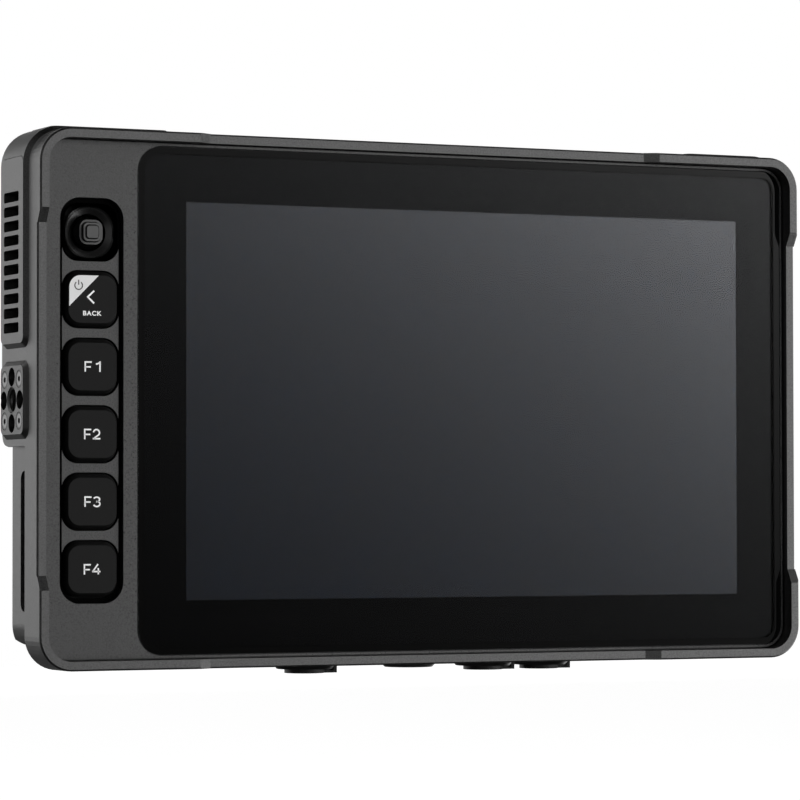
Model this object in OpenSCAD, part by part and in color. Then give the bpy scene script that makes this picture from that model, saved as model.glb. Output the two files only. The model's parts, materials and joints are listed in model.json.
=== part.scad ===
// Seven inch on-camera field monitor: a rimmed metal chassis with a touch screen, a column of
// keys with a small joystick, side vents, four tripod mounts and a fan-cooled back.
// Millimetres. +Z is up, the screen faces -Y, +X is to the right seen from the front. The origin
// is where the thread of the bottom tripod mount starts, so y = 0 is the line of all four mounts.

/* [Chassis] */
// Width of the chassis
body_w = 204.3; // [198:0.1:214]
// Height of the chassis
body_h = 126.4; // [124:0.1:134]
// Radius of the chassis corners seen from the front
corner_r = 8; // [7:0.1:9]
// Width of the rim around the front
rim_w = 2.25; // [2:0.05:2.8]
// Chamfer on the front edges of the rim
rim_chamfer = 0.4; // [0.2:0.05:0.6]
// Depth from the mount line forward to the corner bumpers
bumper_front = 16.3; // [16:0.1:17.5]
// How far the rim drops between the corner bumpers
rim_drop = 2; // [1:0.1:2.4]
// Length of a corner bumper along the top and bottom edges
bumper_x = 40.1; // [34:0.1:46]
// Length of a corner bumper along the left and right edges
bumper_z = 18.8; // [15:0.1:24]
// Run of the ramp between a bumper and the lower rim
ramp_run = 3.4; // [2:0.1:5]
// Depth from the mount line back to the rear edge of the chassis
chassis_back = 9.7; // [9.3:0.1:11]
// Extra wall behind the rim, which carries the face panel
ledge_w = 1.95; // [1.6:0.05:2.2]
// Thickness of the wall between the screen and the electronics
bulkhead_t = 1.5; // [1.2:0.1:1.8]
// Distance from the mount line forward to the back of that wall
bulkhead_back = 0.5; // [0.3:0.1:0.8]
// Thickness of the lip around the rear opening
rear_lip_t = 2; // [1.8:0.1:2.4]
// Width of the lip around the rear opening
rear_lip_w = 8; // [7.6:0.1:9]

/* [Side relief] */
// How far the lower rear of the sides is set in
relief_side = 1.6; // [1:0.1:1.8]
// How far the outer thirds of the bottom are set in behind the front strip
relief_bottom = 5.2; // [4:0.1:5.6]
// Distance from the mount line forward to the front of the relief
relief_front = 6; // [5:0.1:7]
// Height of the relief below the middle of the chassis
relief_drop = 10.85; // [10.5:0.05:12]
// Radius of the relieved lower corner
relief_r = 5.45; // [4:0.05:6]
// Radius where the relief ends on the side
relief_end_r = 4.3; // [3:0.1:5]
// Distance from the middle to the inner end of the bottom relief
relief_x = 48; // [46.5:0.5:56]

/* [Vent pads] */
// How far the vent pads and mount pads stand off the sides
pad_rise = 1.1; // [0.8:0.05:1.4]
// Half depth of the pads, front to back, at their foot
pad_half_y = 8.65; // [8.4:0.05:9]
// Radius of the pad corners
pad_r = 2.8; // [2:0.1:3.4]
// Height of the lower end of a vent pad above the middle of the chassis
vent_pad_end = 12.2; // [10.5:0.1:14]
// Length of the left vent pad along the top
vent_top_left = 36.6; // [25:0.1:50]
// Length of the right vent pad along the top
vent_top_right = 28.3; // [20:0.1:50]
// Number of slots in each vent pad
vent_n = 10; // [6:1:11]
// Pitch of the slots
vent_pitch = 3.42; // [3.2:0.02:3.5]
// Height of a slot
vent_h = 2.4; // [1.8:0.1:2.6]
// Length of a slot, front to back
vent_l = 10.1; // [8:0.1:11]
// Distance of the slots behind the mount line
vent_y = 0.4; // [0:0.1:0.8]
// Radius of the slot corners
vent_r = 0.6; // [0.3:0.1:0.9]
// Height of the lowest slot above the middle of the chassis
vent_first = 17; // [16:0.1:19]

/* [Mounts] */
// Length of a mount pad at its foot
mount_l = 18.3; // [18:0.1:20]
// Bore of the 1/4-20 tripod thread
thread_r = 2.6; // [2.5:0.05:2.7]
// Depth of the lead-in chamfer of the thread
thread_lead = 0.4; // [0.2:0.05:0.6]
// How far that chamfer widens the thread
thread_flare = 0.6; // [0.3:0.05:0.7]
// Length of the thread
thread_l = 8.7; // [8:0.1:9]
// Depth of a mount plate in the chassis side
mount_sink = 2.4; // [2:0.1:2.8]
// Radius of the boss behind a mount plate
mount_boss_r = 4.4; // [4.2:0.1:4.6]
// Radius of the circle of locating holes
locate_ring_r = 5.45; // [5.3:0.05:5.5]
// Radius of a locating hole
locate_r = 2.2; // [1.8:0.05:2.25]
// Depth of a locating hole
locate_d = 2.6; // [2:0.1:2.8]
// Radius of the bottom mount's flange
bottom_flange_r = 6.95; // [6.6:0.05:7.4]
// Radius of the bottom mount's body in the chassis
insert_body_r = 5; // [4.6:0.1:5.4]
// Offset of the plate screws from the middle, both ways
mount_screw_at = 4.9; // [4.8:0.05:5]
// Radius of the plate screw heads
mount_screw_r = 1.95; // [1.8:0.05:2]

/* [Face] */
// Depth from the mount line forward to the face panel
face_front = 12.5; // [12.3:0.1:12.9]
// Thickness of the face panel
face_t = 2.5; // [2.4:0.1:2.8]
// Groove between the rim and the face panel
face_gap = 0.35; // [0.25:0.05:0.5]
// Width of the strip of face panel around the glass
face_strip = 0.5; // [0.4:0.05:0.8]
// Width of the face panel to the left of the glass
key_side_w = 23; // [22.5:0.1:23.5]
// Gap around the cover glass
glass_gap = 0.25; // [0.15:0.05:0.35]
// Radius of the cover glass corners beside the keys
glass_left_r = 6; // [5:0.1:7]
// Radius of the cover glass corners on the right
glass_right_r = 4.9; // [4:0.1:6]
// Thickness of the cover glass
glass_t = 1.1; // [0.9:0.05:1.2]
// Thickness of the black adhesive border behind the glass
adhesive_t = 0.3; // [0.2:0.05:0.4]

/* [Screen] */
// Black border of the glass on each side of the picture area, which is 150.77 wide
screen_side = 12.165; // [11.5:0.005:14]
// Black border of the glass above and below the picture area, which is 94.23 high
screen_above = 12.735; // [12:0.005:15]
// Offset of the picture area from the middle of the glass
screen_shift = 0.4; // [-0.5:0.05:1]
// Border of the panel module outside the picture area
module_border = 3.6; // [2:0.1:4]
// Thickness of the liquid crystal panel
lcd_t = 1.6; // [1.2:0.1:1.8]
// Thickness of the backlight
backlight_t = 4; // [3:0.1:4.4]
// Thickness of the sheet metal of the display tray
tray_t = 1; // [0.8:0.1:1.2]

/* [Keys] */
// Width of the key channel in the face panel
channel_w = 15.9; // [15.6:0.1:16.4]
// Radius of the channel corners
channel_r = 5; // [4:0.1:6]
// Distance from the middle of the channel to the left edge of the face panel
channel_x = 11.6; // [11.4:0.05:11.8]
// Groove between the face panel and the key frame
channel_gap = 0.9; // [0.6:0.05:1]
// How far the key frame lies behind the face panel
key_frame_drop = 1; // [0.7:0.1:1.2]
// Distance between neighbouring keys
key_pitch = 15.76; // [15.5:0.02:15.9]
// Width and height of a key well
well_w = 13.7; // [13.3:0.1:13.9]
// Radius of the well corners
well_r = 4; // [3.4:0.1:4.4]
// Gap between a key and its well
key_gap = 0.4; // [0.25:0.05:0.5]
// How far the keys stand out of the face panel
key_proud = 0.5; // [0.2:0.1:0.8]
// Width of a key's flat top
key_top_w = 11.95; // [11:0.05:12]
// Height of a key's flat top
key_top_h = 11.1; // [10.5:0.05:11.6]
// Radius of the flat top's corners
key_top_r = 3; // [2.4:0.1:3.6]
// Travel of a key
key_travel = 0.8; // [0.4:0.1:0.8]

/* [Joystick] */
// Radius of the bowl where it turns round
dish_r = 5.8; // [5.4:0.1:6.2]
// Radius of the hole in the dish
dish_hole_r = 4.3; // [4.1:0.1:4.6]
// Depth of the dish
dish_d = 1.6; // [1.2:0.1:1.8]
// Radius of the dish's throat, behind its hole
dish_throat_r = 3.9; // [3.85:0.05:4.1]
// Width of the joystick cap
stick_cap_w = 5.75; // [5:0.05:6]
// Width of the middle step of the cap
stick_mid_w = 4.25; // [4:0.05:4.6]
// Width of the top step of the cap
stick_top_w = 2.85; // [2.6:0.05:3.2]
// Height of the top step of the cap
stick_top_h = 0.37; // [0.25:0.01:0.5]
// Height of the middle step of the cap
stick_mid_h = 0.75; // [0.5:0.05:0.9]
// How far the top of the joystick stands out of the face panel
stick_proud = 0.55; // [0.3:0.05:0.9]
// Distance from the mount line forward to the joystick's pivot
stick_pivot = 7; // [6.8:0.1:7.2]
// Travel of the cap when it is pressed
stick_travel = 0.4; // [0.2:0.1:0.4]

/* [Cooling] */
// Size of the fan frame
fan_w = 40; // [38:0.5:40]
// Depth of the fan
fan_t = 7; // [6.5:0.1:7.4]
// Distance of the fan below the rear cover's top
fan_down = 9.9; // [9.5:0.1:11]
// Radius of the fan hub
fan_hub_r = 9; // [8:0.1:10]
// Number of fan blades
fan_blades = 7; // [5:1:11]
// Number of fins in each half of the heat sink
fin_n = 11; // [7:1:12]
// Pitch of the fins
fin_pitch = 3.1; // [3:0.02:3.16]
// Thickness of a fin
fin_t = 1; // [0.8:0.1:1.2]
// Height of the fins
fin_h = 5.6; // [4:0.1:5.8]
// Gap between the heat sink and the main board's screws
sink_gap = 3.8; // [3:0.2:8]

/* [Rear cover] */
// Distance of the rear cover from the chassis's sides
cover_side = 3.65; // [3.4:0.05:4.2]
// Distance of the rear cover from the chassis's top and bottom
cover_above = 7.3; // [7:0.1:7.6]
// Radius of the rear cover's corners at its foot
cover_r = 9; // [8:0.1:10]
// Slope of the rear cover at its sides
slope_side = 10.5; // [8.5:0.5:14]
// Slope of the rear cover at its top and bottom
slope_above = 7.4; // [6.4:0.2:8.8]
// Depth of the rear cover
cover_d = 10; // [9.6:0.1:10.4]
// Wall of the rear cover
cover_wall = 2; // [1.8:0.1:2.2]
// Spacing of the rear mounting holes, both ways
vesa = 75; // [75:1:75]
// Bore of the threaded rear inserts
insert_bore_r = 1.65; // [1.6:0.05:1.7]
// Outer radius of the rear inserts
insert_r = 2.8; // [2.6:0.1:3]
// Length of the rear inserts
insert_l = 5.7; // [5:0.1:5.8]
// Radius of the rear cover screws' heads
cover_screw_r = 2.7; // [2.5:0.05:2.8]

/* [Sockets] */
// Distance of the power socket to the left of the middle
power_x = 28; // [26:0.5:32]
// Distance of the first video socket to the right of the middle
video_x = 20.5; // [19:0.5:22]
// Distance between the two video sockets
video_pitch = 15.65; // [15.4:0.05:16]
// Radius of a socket's flange
flange_r = 7.6; // [7:0.05:7.65]
// Outer radius of a socket's barrel
barrel_r = 4.85; // [4.6:0.05:5]
// Bore of a socket's barrel
barrel_bore_r = 3.9; // [3.6:0.05:4]
// How far the barrels reach below the chassis
barrel_drop = 2.1; // [1.8:0.1:3]
// Height of a socket's body inside the chassis
socket_h = 10.4; // [9:0.1:10.6]
// Length of the memory card recess
card_recess_l = 33; // [31:0.5:34]
// Width of the mouth for a memory card
card_w = 24.6; // [24.4:0.1:25]
// Thickness of that mouth
card_t = 2.4; // [2.2:0.1:2.5]
// Width of a digital video socket's shell
hdmi_w = 15; // [14.6:0.1:15.4]
// Thickness of a digital video socket's shell
hdmi_t = 5.6; // [5.4:0.1:5.8]

/* [Hidden] */
$fn = 48;

seat = 0.1;                      // gap between pieces that are seated on each other
fit = 0.05;                      // radial gap of a turning or sliding pin
eps = 0.01;                      // thickness of the slices that a hull joins
cut = 1;                         // how far a cutting shape passes the face it cuts

// Chassis levels
body_z0 = pad_rise - thread_lead;
body_z1 = body_z0 + body_h;
mid_z = (body_z0 + body_z1) / 2;
side_x = body_w / 2;
rim_front = bumper_front - rim_drop;
inner_w = body_w - 2 * rim_w;
inner_h = body_h - 2 * rim_w;
inner_r = corner_r - rim_w;
wall_w = rim_w + ledge_w;
face_back = face_front - face_t;
bulkhead_front = bulkhead_back + bulkhead_t;
cover_w = body_w - 2 * cover_side;
cover_h = body_h - 2 * cover_above;
rear_open_w = cover_w - 2 * rear_lip_w;
rear_open_h = cover_h - 2 * rear_lip_w;
relief_z = mid_z - relief_drop;
relief_wall = 2.05;              // wall left at the rear edge of the relief
relief_taper_y = 6.7;            // where the rear edge of the relief starts to taper
liner_t = 1.6;                   // inner wall behind the tapered edge

// Face and screen
face_w = inner_w - 2 * face_gap;
face_h = inner_h - 2 * face_gap;
face_r = inner_r - face_gap;
pocket_x0 = -face_w / 2 + key_side_w;
pocket_x1 = face_w / 2 - face_strip;
pocket_w = pocket_x1 - pocket_x0;
pocket_h = face_h - 2 * face_strip;
glass_x = (pocket_x0 + pocket_x1) / 2;
glass_w = pocket_w - 2 * glass_gap;
glass_h = pocket_h - 2 * glass_gap;
screen_x = glass_x + screen_shift;
screen_w = glass_w - 2 * screen_side;
screen_h = glass_h - 2 * screen_above;
glass_back = face_front - glass_t;
bond = 0.05;                     // gap behind the cover glass
lcd_front = glass_back - bond - adhesive_t;
lcd_back = lcd_front - lcd_t;
module_w = screen_w + 2 * module_border;
module_h = screen_h + 2 * module_border;
module_gap = 0.3;
tray_w = module_w + 2 * (module_gap + tray_t);
tray_h = module_h + 2 * (module_gap + tray_t);
backlight_back = lcd_back - backlight_t;
tray_back = backlight_back - tray_t;
tray_foot_r = 3;
tray_foot_in = 12;               // distance of the tray's feet from its corners

// Keys, counted down from the joystick at 0
key_n = 5;
keys_x = -face_w / 2 + channel_x;
channel_end = channel_w / 2 + 0.1;
channel_l = key_n * key_pitch + 2 * channel_end;
channel_z = mid_z - 0.2;
stick_z = channel_z + key_n * key_pitch / 2;
key_frame_front = face_front - key_frame_drop;
key_frame_w = channel_w - 2 * channel_gap;
key_frame_l = channel_l - 2 * channel_gap;
key_frame_r = channel_r - channel_gap;
key_bar_t = 0.9;                 // thickness of the bars between the keys
key_flange_t = 1;                // thickness of the key frame's hidden flange
key_frame_back = face_back - seat - key_flange_t;
key_front = face_front + key_proud;
key_base_w = well_w - 2 * key_gap;
key_skirt_t = 0.7;               // thickness of the skirt that holds a key in
key_skirt_w = key_pitch - 0.9;
key_skirt_front = key_frame_back - 0.3;
key_skirt_back = key_skirt_front - key_skirt_t;
nub_r = 1.5;
nub_l = 1.8;
switch_w = 6.2;
switch_front = key_skirt_back - key_travel - 0.3;
board_gap = bulkhead_front + seat;
key_board_t = 1.2;
key_board_front = board_gap + key_board_t;
key_board_w = 11.6;
key_board_shift = 1;             // the board sits to the right, clear of the left mount

// Joystick
dish_w = well_w - 2 * fit;
bowl_lip = 0.15;                 // width of the dish's lip
bowl_mid = 0.65;                 // depth of the bowl's steep upper part, as a share
stick_top = face_front + stick_proud;
stick_mid = stick_top - stick_top_h;
stick_low = stick_mid - stick_mid_h;
stick_slope = 0.3;               // how much wider each step is at its foot
stick_skirt_r = 3.35;
stick_neck_r = 2.2;
stick_neck_y = 10.6;
stick_skirt_y = 9.05;            // back edge of the skirt that closes the dish's hole
stick_skirt_t = 0.45;
stick_cap_t = 0.9;
stick_sleeve_r = 1.9;
stick_rod_r = 1.2;
stick_rod_front = 11.2;          // front end of the joystick's rod
stick_sleeve_back = 9.2;
gimbal_r = 3.6;
gimbal_in_r = 2.4;
gimbal_t = 1.6;
trunnion_r = 0.5;
trunnion_l = 0.7;
stick_box_w = 10.4;
stick_bowl_r = gimbal_r + 0.35;
stick_box_front = 8;

// Sockets
socket_x = [-power_x, video_x, video_x + video_pitch];
card_z = mid_z - 33.1;
card_recess_y1 = 1.05;
card_y = -0.4;
card_x0 = -side_x + relief_side + relief_wall + liner_t + seat;
card_l = 28;
hdmi_y = 3.4;
hdmi_l = 16;
hdmi_back = 4;                   // thickness of the connector's solid back
hdmi_tongue_l = 9;
hdmi_tongue_in = 2.2;            // distance of the tongue from the shell's sides
hdmi_x1 = side_x - relief_side - 0.15;
hdmi_z = [mid_z - 21, mid_z - 40];

// Boards and cooling
board_front = -2.5;              // distances behind the mount line are negative here
board_t = 1.6;
board_x0 = -side_x + 36.15;
board_x1 = hdmi_x1 - hdmi_l - 0.4;
board_h = body_h - 32.4;
board_screw_in = 4;              // distance of the board's screws from its edges
board_head_r = 2.2;
board_screw_l = 6;
sink_half = -board_x0 - board_screw_in - board_head_r - sink_gap;
chip_t = 0.8;
chip_w = 16;
chip_at = 0.76;                  // place of the outer chips along the half heat sink
part_w = 7;
part_n = 6;
sink_y0 = -board_front + board_t + chip_t;
sink_t = 2;
fan_y1 = chassis_back + seat + cover_d - cover_wall - seat;
fan_y0 = fan_y1 - fan_t;
fan_z = mid_z + body_h / 2 - cover_above - fan_down - fan_w / 2;
fan_bore_r = fan_w / 2 - 1.1;
fan_screw_at = fan_w / 2 - 4;    // distance of the fan's screws from its axis, both ways
fan_screw_l = 7;
fan_shaft_r = 1;
grille_r = fan_w / 2 - 0.2;

// Rear cover
back_w = cover_w - 2 * slope_side;
back_h = cover_h - 2 * slope_above;
cover_y0 = chassis_back + seat;
cover_y1 = cover_y0 + cover_d;
cover_rim_t = 1.9;               // upright part of the cover's edge
seal_w = 1.4;
seal_t = 0.9;
seal_in = 2.2;                   // distance of the seal from the rear opening
cover_screw_x = cover_w / 2 - 3.6;
cover_screw_z = cover_h / 2 - 3.6;
cover_screw_side = 0.375 * cover_h;
cover_screw_top = 0.215 * cover_w;
cover_screw_seat = 2.2;
cover_screw_l = 6;
boss_r = insert_r + 1.6;

body_grey = [0.29, 0.29, 0.29];
side_grey = [0.4, 0.4, 0.4];
key_black = [0.09, 0.09, 0.09];
steel = [0.55, 0.55, 0.56];

// A flat rounded rectangle.
module rounded(w, h, r) {
    square([w - 2 * r, h], center = true);
    square([w, h - 2 * r], center = true);
    for (sx = [-1, 1], sy = [-1, 1])
        translate([sx * (w / 2 - r), sy * (h / 2 - r)])
            circle(r);
}

// A rounded plate that faces forward, from y0 to y1, with its middle at x, z.
module plate(w, h, r, y0, y1, x = 0, z = mid_z) {
    translate([x, y1, z])
        rotate([90, 0, 0])
            linear_extrude(y1 - y0)
                rounded(w, h, r);
}

// A cylinder along Y.
module rod_y(r, y0, y1, x = 0, z = 0) {
    translate([x, y1, z])
        rotate([90, 0, 0])
            cylinder(r = r, h = y1 - y0);
}

// A box from one corner to the other.
module box(a, b) {
    translate(a)
        cube([b[0] - a[0], b[1] - a[1], b[2] - a[2]]);
}

// A cap screw with its head's top at z = 0 and its shank down -Z.
module screw(head_r, head_t, shank_r, length, socket_r) {
    difference() {
        translate([0, 0, -head_t])
            cylinder(r = head_r, h = head_t);
        translate([0, 0, -head_t * 0.6])
            cylinder(r = socket_r, h = head_t, $fn = 6);
    }
    translate([0, 0, -length])
        cylinder(r = shank_r, h = length - head_t + eps);
}

// Puts its children on a side of the chassis: z = 0 is the side, +Z points out, Y stays.
module on_side(side) {
    if (side == "left")
        translate([-side_x, 0, mid_z])
            rotate([0, -90, 0])
                children();
    if (side == "right")
        translate([side_x, 0, mid_z])
            rotate([0, 90, 0])
                children();
    if (side == "top")
        translate([0, 0, body_z1 - pad_rise])
            children();
}

// ---- Chassis ----

// The outer block with its front edges chamfered.
module chassis_block() {
    w2 = body_w - 2 * rim_chamfer;
    h2 = body_h - 2 * rim_chamfer;
    hull() {
        plate(w2, h2, corner_r - rim_chamfer, -bumper_front, -bumper_front + eps);
        plate(body_w, body_h, corner_r, -bumper_front + rim_chamfer, chassis_back);
    }
}

// What is cut away between two bumpers: a wide trapezoid prism, along X.
module rim_gap(half, length) {
    deep = bumper_front + cut;
    run = ramp_run * (1 + cut / rim_drop);
    linear_extrude(length, center = true)
        polygon([[-half - run + ramp_run, -deep], [half + run - ramp_run, -deep],
            [half - ramp_run, -rim_front], [-half + ramp_run, -rim_front]]);
}

// The chamfer along the outer edge of the lower rim.
module rim_edge(length) {
    c = rim_chamfer;
    linear_extrude(length, center = true)
        polygon([[-c, -rim_front - eps], [cut, -rim_front - eps], [cut, -rim_front + c + cut],
            [0, -rim_front + c]]);
}

module rim_cuts() {
    half_x = side_x - bumper_x;
    half_z = body_h / 2 - bumper_z;
    translate([0, 0, mid_z])
        rim_gap(half_x, body_h + 2 * cut);
    translate([0, 0, mid_z])
        rotate([0, 90, 0])
            rim_gap(half_z, body_w + 2 * cut);
    for (s = [0, 1])
        mirror([s, 0, 0])
            translate([side_x, 0, mid_z])
                rim_edge(2 * (half_z - ramp_run));
    for (s = [-1, 1])
        translate([0, 0, mid_z + s * body_h / 2])
            rotate([0, -90 * s, 0])
                rim_edge(2 * (half_x - ramp_run));
}

// A raised pad with sloped edges: a rounded rectangle, l by 2 * pad_half_y, on z = 0.
module sloped_pad(l) {
    hull() {
        linear_extrude(eps)
            rounded(l, 2 * pad_half_y, pad_r);
        translate([0, 0, pad_rise - eps])
            linear_extrude(eps)
                rounded(l - 2 * pad_rise, 2 * (pad_half_y - pad_rise), pad_r - pad_rise);
    }
}

// The pad that carries the vent slots and wraps over the top left corner.
module vent_pad(top_l) {
    side_l = body_h / 2 - vent_pad_end - corner_r + pad_r;
    over_l = top_l - corner_r + pad_r;
    turn_x = -side_x + corner_r;
    turn_z = body_z1 - corner_r;
    translate([-side_x, 0, turn_z + pad_r - side_l / 2])
        rotate([0, -90, 0])
            sloped_pad(side_l);
    translate([turn_x - pad_r + over_l / 2, 0, body_z1])
        sloped_pad(over_l);
    translate([turn_x, 0, turn_z])
        rotate([90, 0, 0])
            rotate([0, 0, 90])
                rotate_extrude(angle = 90)
                    polygon([[corner_r - 2 * pad_rise, -pad_half_y], [corner_r, -pad_half_y],
                        [corner_r + pad_rise, -pad_half_y + pad_rise],
                        [corner_r + pad_rise, pad_half_y - pad_rise],
                        [corner_r, pad_half_y], [corner_r - 2 * pad_rise, pad_half_y]]);
}

module vent_slots() {
    for (s = [0, 1])
        mirror([s, 0, 0])
            for (i = [0 : vent_n - 1])
                translate([-side_x - pad_rise - cut, vent_y, mid_z + vent_first + i * vent_pitch])
                    rotate([0, 90, 0])
                        linear_extrude(wall_w + pad_rise + 2 * cut)
                            rounded(vent_h, vent_l, vent_r);
}

// The relief of the lower rear corner on the left, as a shape to cut away.
module relief() {
    x0 = -side_x - cut;
    edge_x = -side_x + relief_side;
    edge_z = body_z0 + relief_bottom;
    taper = relief_wall / (chassis_back - relief_taper_y);
    more = taper * cut;
    difference() {
        box([x0, -relief_front, body_z0 - cut], [-relief_x, chassis_back + cut, relief_z]);
        plate(2 * (side_x - relief_side), 2 * (mid_z - edge_z), relief_r, -relief_front - cut,
            chassis_back + 2 * cut);
    }
    translate([0, 0, body_z0 - cut])
        linear_extrude(relief_z - body_z0 + cut)
            polygon([[x0, relief_taper_y], [edge_x, relief_taper_y],
                [edge_x + relief_wall + more, chassis_back + cut], [x0, chassis_back + cut]]);
    translate([-relief_x, 0, 0])
        rotate([0, -90, 0])
            linear_extrude(side_x - relief_x + cut)
                polygon([[body_z0 - cut, relief_taper_y], [edge_z, relief_taper_y],
                    [edge_z + relief_wall + more, chassis_back + cut],
                    [body_z0 - cut, chassis_back + cut]]);
    difference() {
        box([x0, chassis_back - relief_end_r, relief_z - eps],
            [edge_x, chassis_back + cut, relief_z + relief_end_r]);
        translate([x0 - cut, chassis_back - relief_end_r, relief_z + relief_end_r])
            rotate([0, 90, 0])
                cylinder(r = relief_end_r, h = relief_side + 3 * cut);
    }
}

// The thicker inner wall behind the relief, on the left.
module relief_liner() {
    x1 = -side_x + relief_side + relief_wall + liner_t;
    z1 = body_z0 + relief_bottom + relief_wall + liner_t;
    y0 = -relief_front - liner_t;
    box([-side_x, y0, body_z0], [x1, chassis_back, relief_z + 6.5]);
    box([-side_x, y0, body_z0], [-relief_x + 3, chassis_back, z1]);
}

module chassis_hollows() {
    plate(inner_w, inner_h, inner_r, -bumper_front - cut, -face_back);
    difference() {
        union() {
            plate(body_w - 2 * wall_w, body_h - 2 * wall_w, corner_r - wall_w / 2,
                -face_back - eps, -bulkhead_front);
            plate(inner_w, inner_h, inner_r, -bulkhead_back, chassis_back - rear_lip_t);
        }
        relief_liner();
        mirror([1, 0, 0])
            relief_liner();
    }
    plate(rear_open_w, rear_open_h, cover_r, chassis_back - rear_lip_t - eps, chassis_back + cut);
}

// The block behind a mount plate.
module mount_backing() {
    translate([0, 0, -mount_sink - 2.2])
        linear_extrude(mount_sink + 2.2 - eps)
            rounded(mount_l + 3, 2 * (pad_half_y + 0.85), 3);
    translate([0, 0, -thread_l - 0.2])
        cylinder(r = mount_boss_r + 1.6, h = thread_l);
}

module mount_pocket() {
    translate([0, 0, -mount_sink - seat])
        linear_extrude(mount_sink + seat + cut)
            rounded(mount_l - 2 + 2 * seat, 2 * pad_half_y - 2 + 2 * seat, pad_r - 1 + seat);
    translate([0, 0, -seat])
        linear_extrude(pad_rise + cut)
            rounded(mount_l + 2 * seat, 2 * (pad_half_y + seat), pad_r + seat);
    translate([0, 0, -thread_l - cut])
        cylinder(r = mount_boss_r + seat, h = thread_l + cut);
    for (sx = [-1, 1], sy = [-1, 1])
        translate([sx * mount_screw_at, sy * mount_screw_at, -mount_sink - 2.2 - cut])
            cylinder(r = 1.2 + fit, h = 2.2 + 2 * cut);
}

module board_posts() {
    for (x = [board_x0 + board_screw_in, board_x1 - board_screw_in], s = [-1, 1])
        rod_y(3, -bulkhead_front, -board_front - seat, x, mid_z + s * (board_h / 2 - board_screw_in));
}

module socket_holes() {
    for (x = socket_x)
        translate([x, 0, body_z0 - cut])
            cylinder(r = barrel_r + 1.2 + seat, h = socket_h + cut + 2 * seat);
}

module card_cut() {
    z = card_z;
    recess_y0 = -relief_front - cut;
    translate([-side_x + relief_side - 1, (recess_y0 + card_recess_y1) / 2, z])
        rotate([0, 90, 0])
            linear_extrude(2)
                rounded(card_recess_l, card_recess_y1 - recess_y0, 2.2);
    box([-side_x, card_y - card_t / 2, z - card_w / 2],
        [-side_x + wall_w + 4, card_y + card_t / 2, z + card_w / 2]);
    box([card_x0 - seat, -bulkhead_front - cut, z - card_w / 2 - 2.4],
        [card_x0 + card_l + 1, -bulkhead_back + eps, z + card_w / 2 + 2.4]);
}

module hdmi_holes() {
    for (z = hdmi_z)
        translate([hdmi_x1 - hdmi_l, hdmi_y, z])
            rotate([0, 90, 0])
                linear_extrude(hdmi_l + 3 * cut)
                    rounded(hdmi_w + 2 * seat, hdmi_t + 2 * seat, 1);
}

// Runs its children at each rear cover screw.
module at_cover_screws() {
    for (sx = [-1, 1], s = [-1, 1]) {
        translate([sx * cover_screw_x, 0, mid_z + s * cover_screw_side])
            children();
        translate([sx * cover_screw_top, 0, mid_z + s * cover_screw_z])
            children();
    }
}

module seal_ring(gap) {
    w = rear_open_w + 2 * seal_in;
    h = rear_open_h + 2 * seal_in;
    y0 = chassis_back + seat - seal_t;
    difference() {
        plate(w + 2 * gap, h + 2 * gap, cover_r + gap, y0, chassis_back + seat);
        plate(w - 2 * seal_w - 2 * gap, h - 2 * seal_w - 2 * gap, cover_r - seal_w - gap,
            y0 - cut, chassis_back + cut);
    }
}

module chassis_frame() {
    color(side_grey)
        difference() {
            union() {
                difference() {
                    union() {
                        difference() {
                            chassis_block();
                            relief();
                            mirror([1, 0, 0])
                                relief();
                        }
                        vent_pad(vent_top_left);
                        mirror([1, 0, 0])
                            vent_pad(vent_top_right);
                    }
                    chassis_hollows();
                }
                for (side = ["left", "right", "top"])
                    on_side(side)
                        mount_backing();
                translate([0, 0, body_z0])
                    cylinder(r = insert_body_r + 2.4, h = thread_l);
                board_posts();
            }
            rim_cuts();
            vent_slots();
            for (side = ["left", "right", "top"])
                on_side(side)
                    mount_pocket();
            translate([0, 0, body_z0 - cut])
                cylinder(r = insert_body_r + fit, h = thread_l + 2 * cut);
            socket_holes();
            card_cut();
            hdmi_holes();
            seal_ring(seat);
            at_cover_screws()
                rod_y(1.3 + fit, chassis_back - rear_lip_t - cut, chassis_back + cut);
            board_screw_holes();
            box([screen_x - 18, -bulkhead_front - cut, mid_z - 30],
                [screen_x + 18, -bulkhead_back + cut, mid_z - 24]);
        }
}

module board_screw_holes() {
    for (x = [board_x0 + board_screw_in, board_x1 - board_screw_in], s = [-1, 1])
        rod_y(1.2 + fit, -bulkhead_front - cut, -board_front + cut, x,
            mid_z + s * (board_h / 2 - board_screw_in));
}

// ---- Mount plates ----

module mount_plate() {
    difference() {
        union() {
            sloped_pad(mount_l);
            translate([0, 0, -mount_sink])
                linear_extrude(mount_sink + eps)
                    rounded(mount_l - 2, 2 * pad_half_y - 2, pad_r - 1);
            translate([0, 0, pad_rise - thread_lead - thread_l])
                cylinder(r = mount_boss_r, h = thread_l - pad_rise);
        }
        translate([0, 0, pad_rise - thread_lead - thread_l - cut])
            cylinder(r = thread_r, h = thread_l + 2 * cut);
        translate([0, 0, pad_rise - thread_lead])
            cylinder(r1 = thread_r, r2 = thread_r + thread_flare, h = thread_lead + eps);
        for (a = [0 : 90 : 270])
            rotate([0, 0, a])
                translate([locate_ring_r, 0, pad_rise - locate_d])
                    cylinder(r = locate_r, h = locate_d + cut);
        for (sx = [-1, 1], sy = [-1, 1])
            translate([sx * mount_screw_at, sy * mount_screw_at, 0]) {
                translate([0, 0, pad_rise - 1.6])
                    cylinder(r = mount_screw_r + 0.15, h = 1.6 + cut);
                translate([0, 0, -mount_sink - cut])
                    cylinder(r = 1.2 + fit, h = mount_sink + 2 * cut);
            }
    }
}

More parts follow.
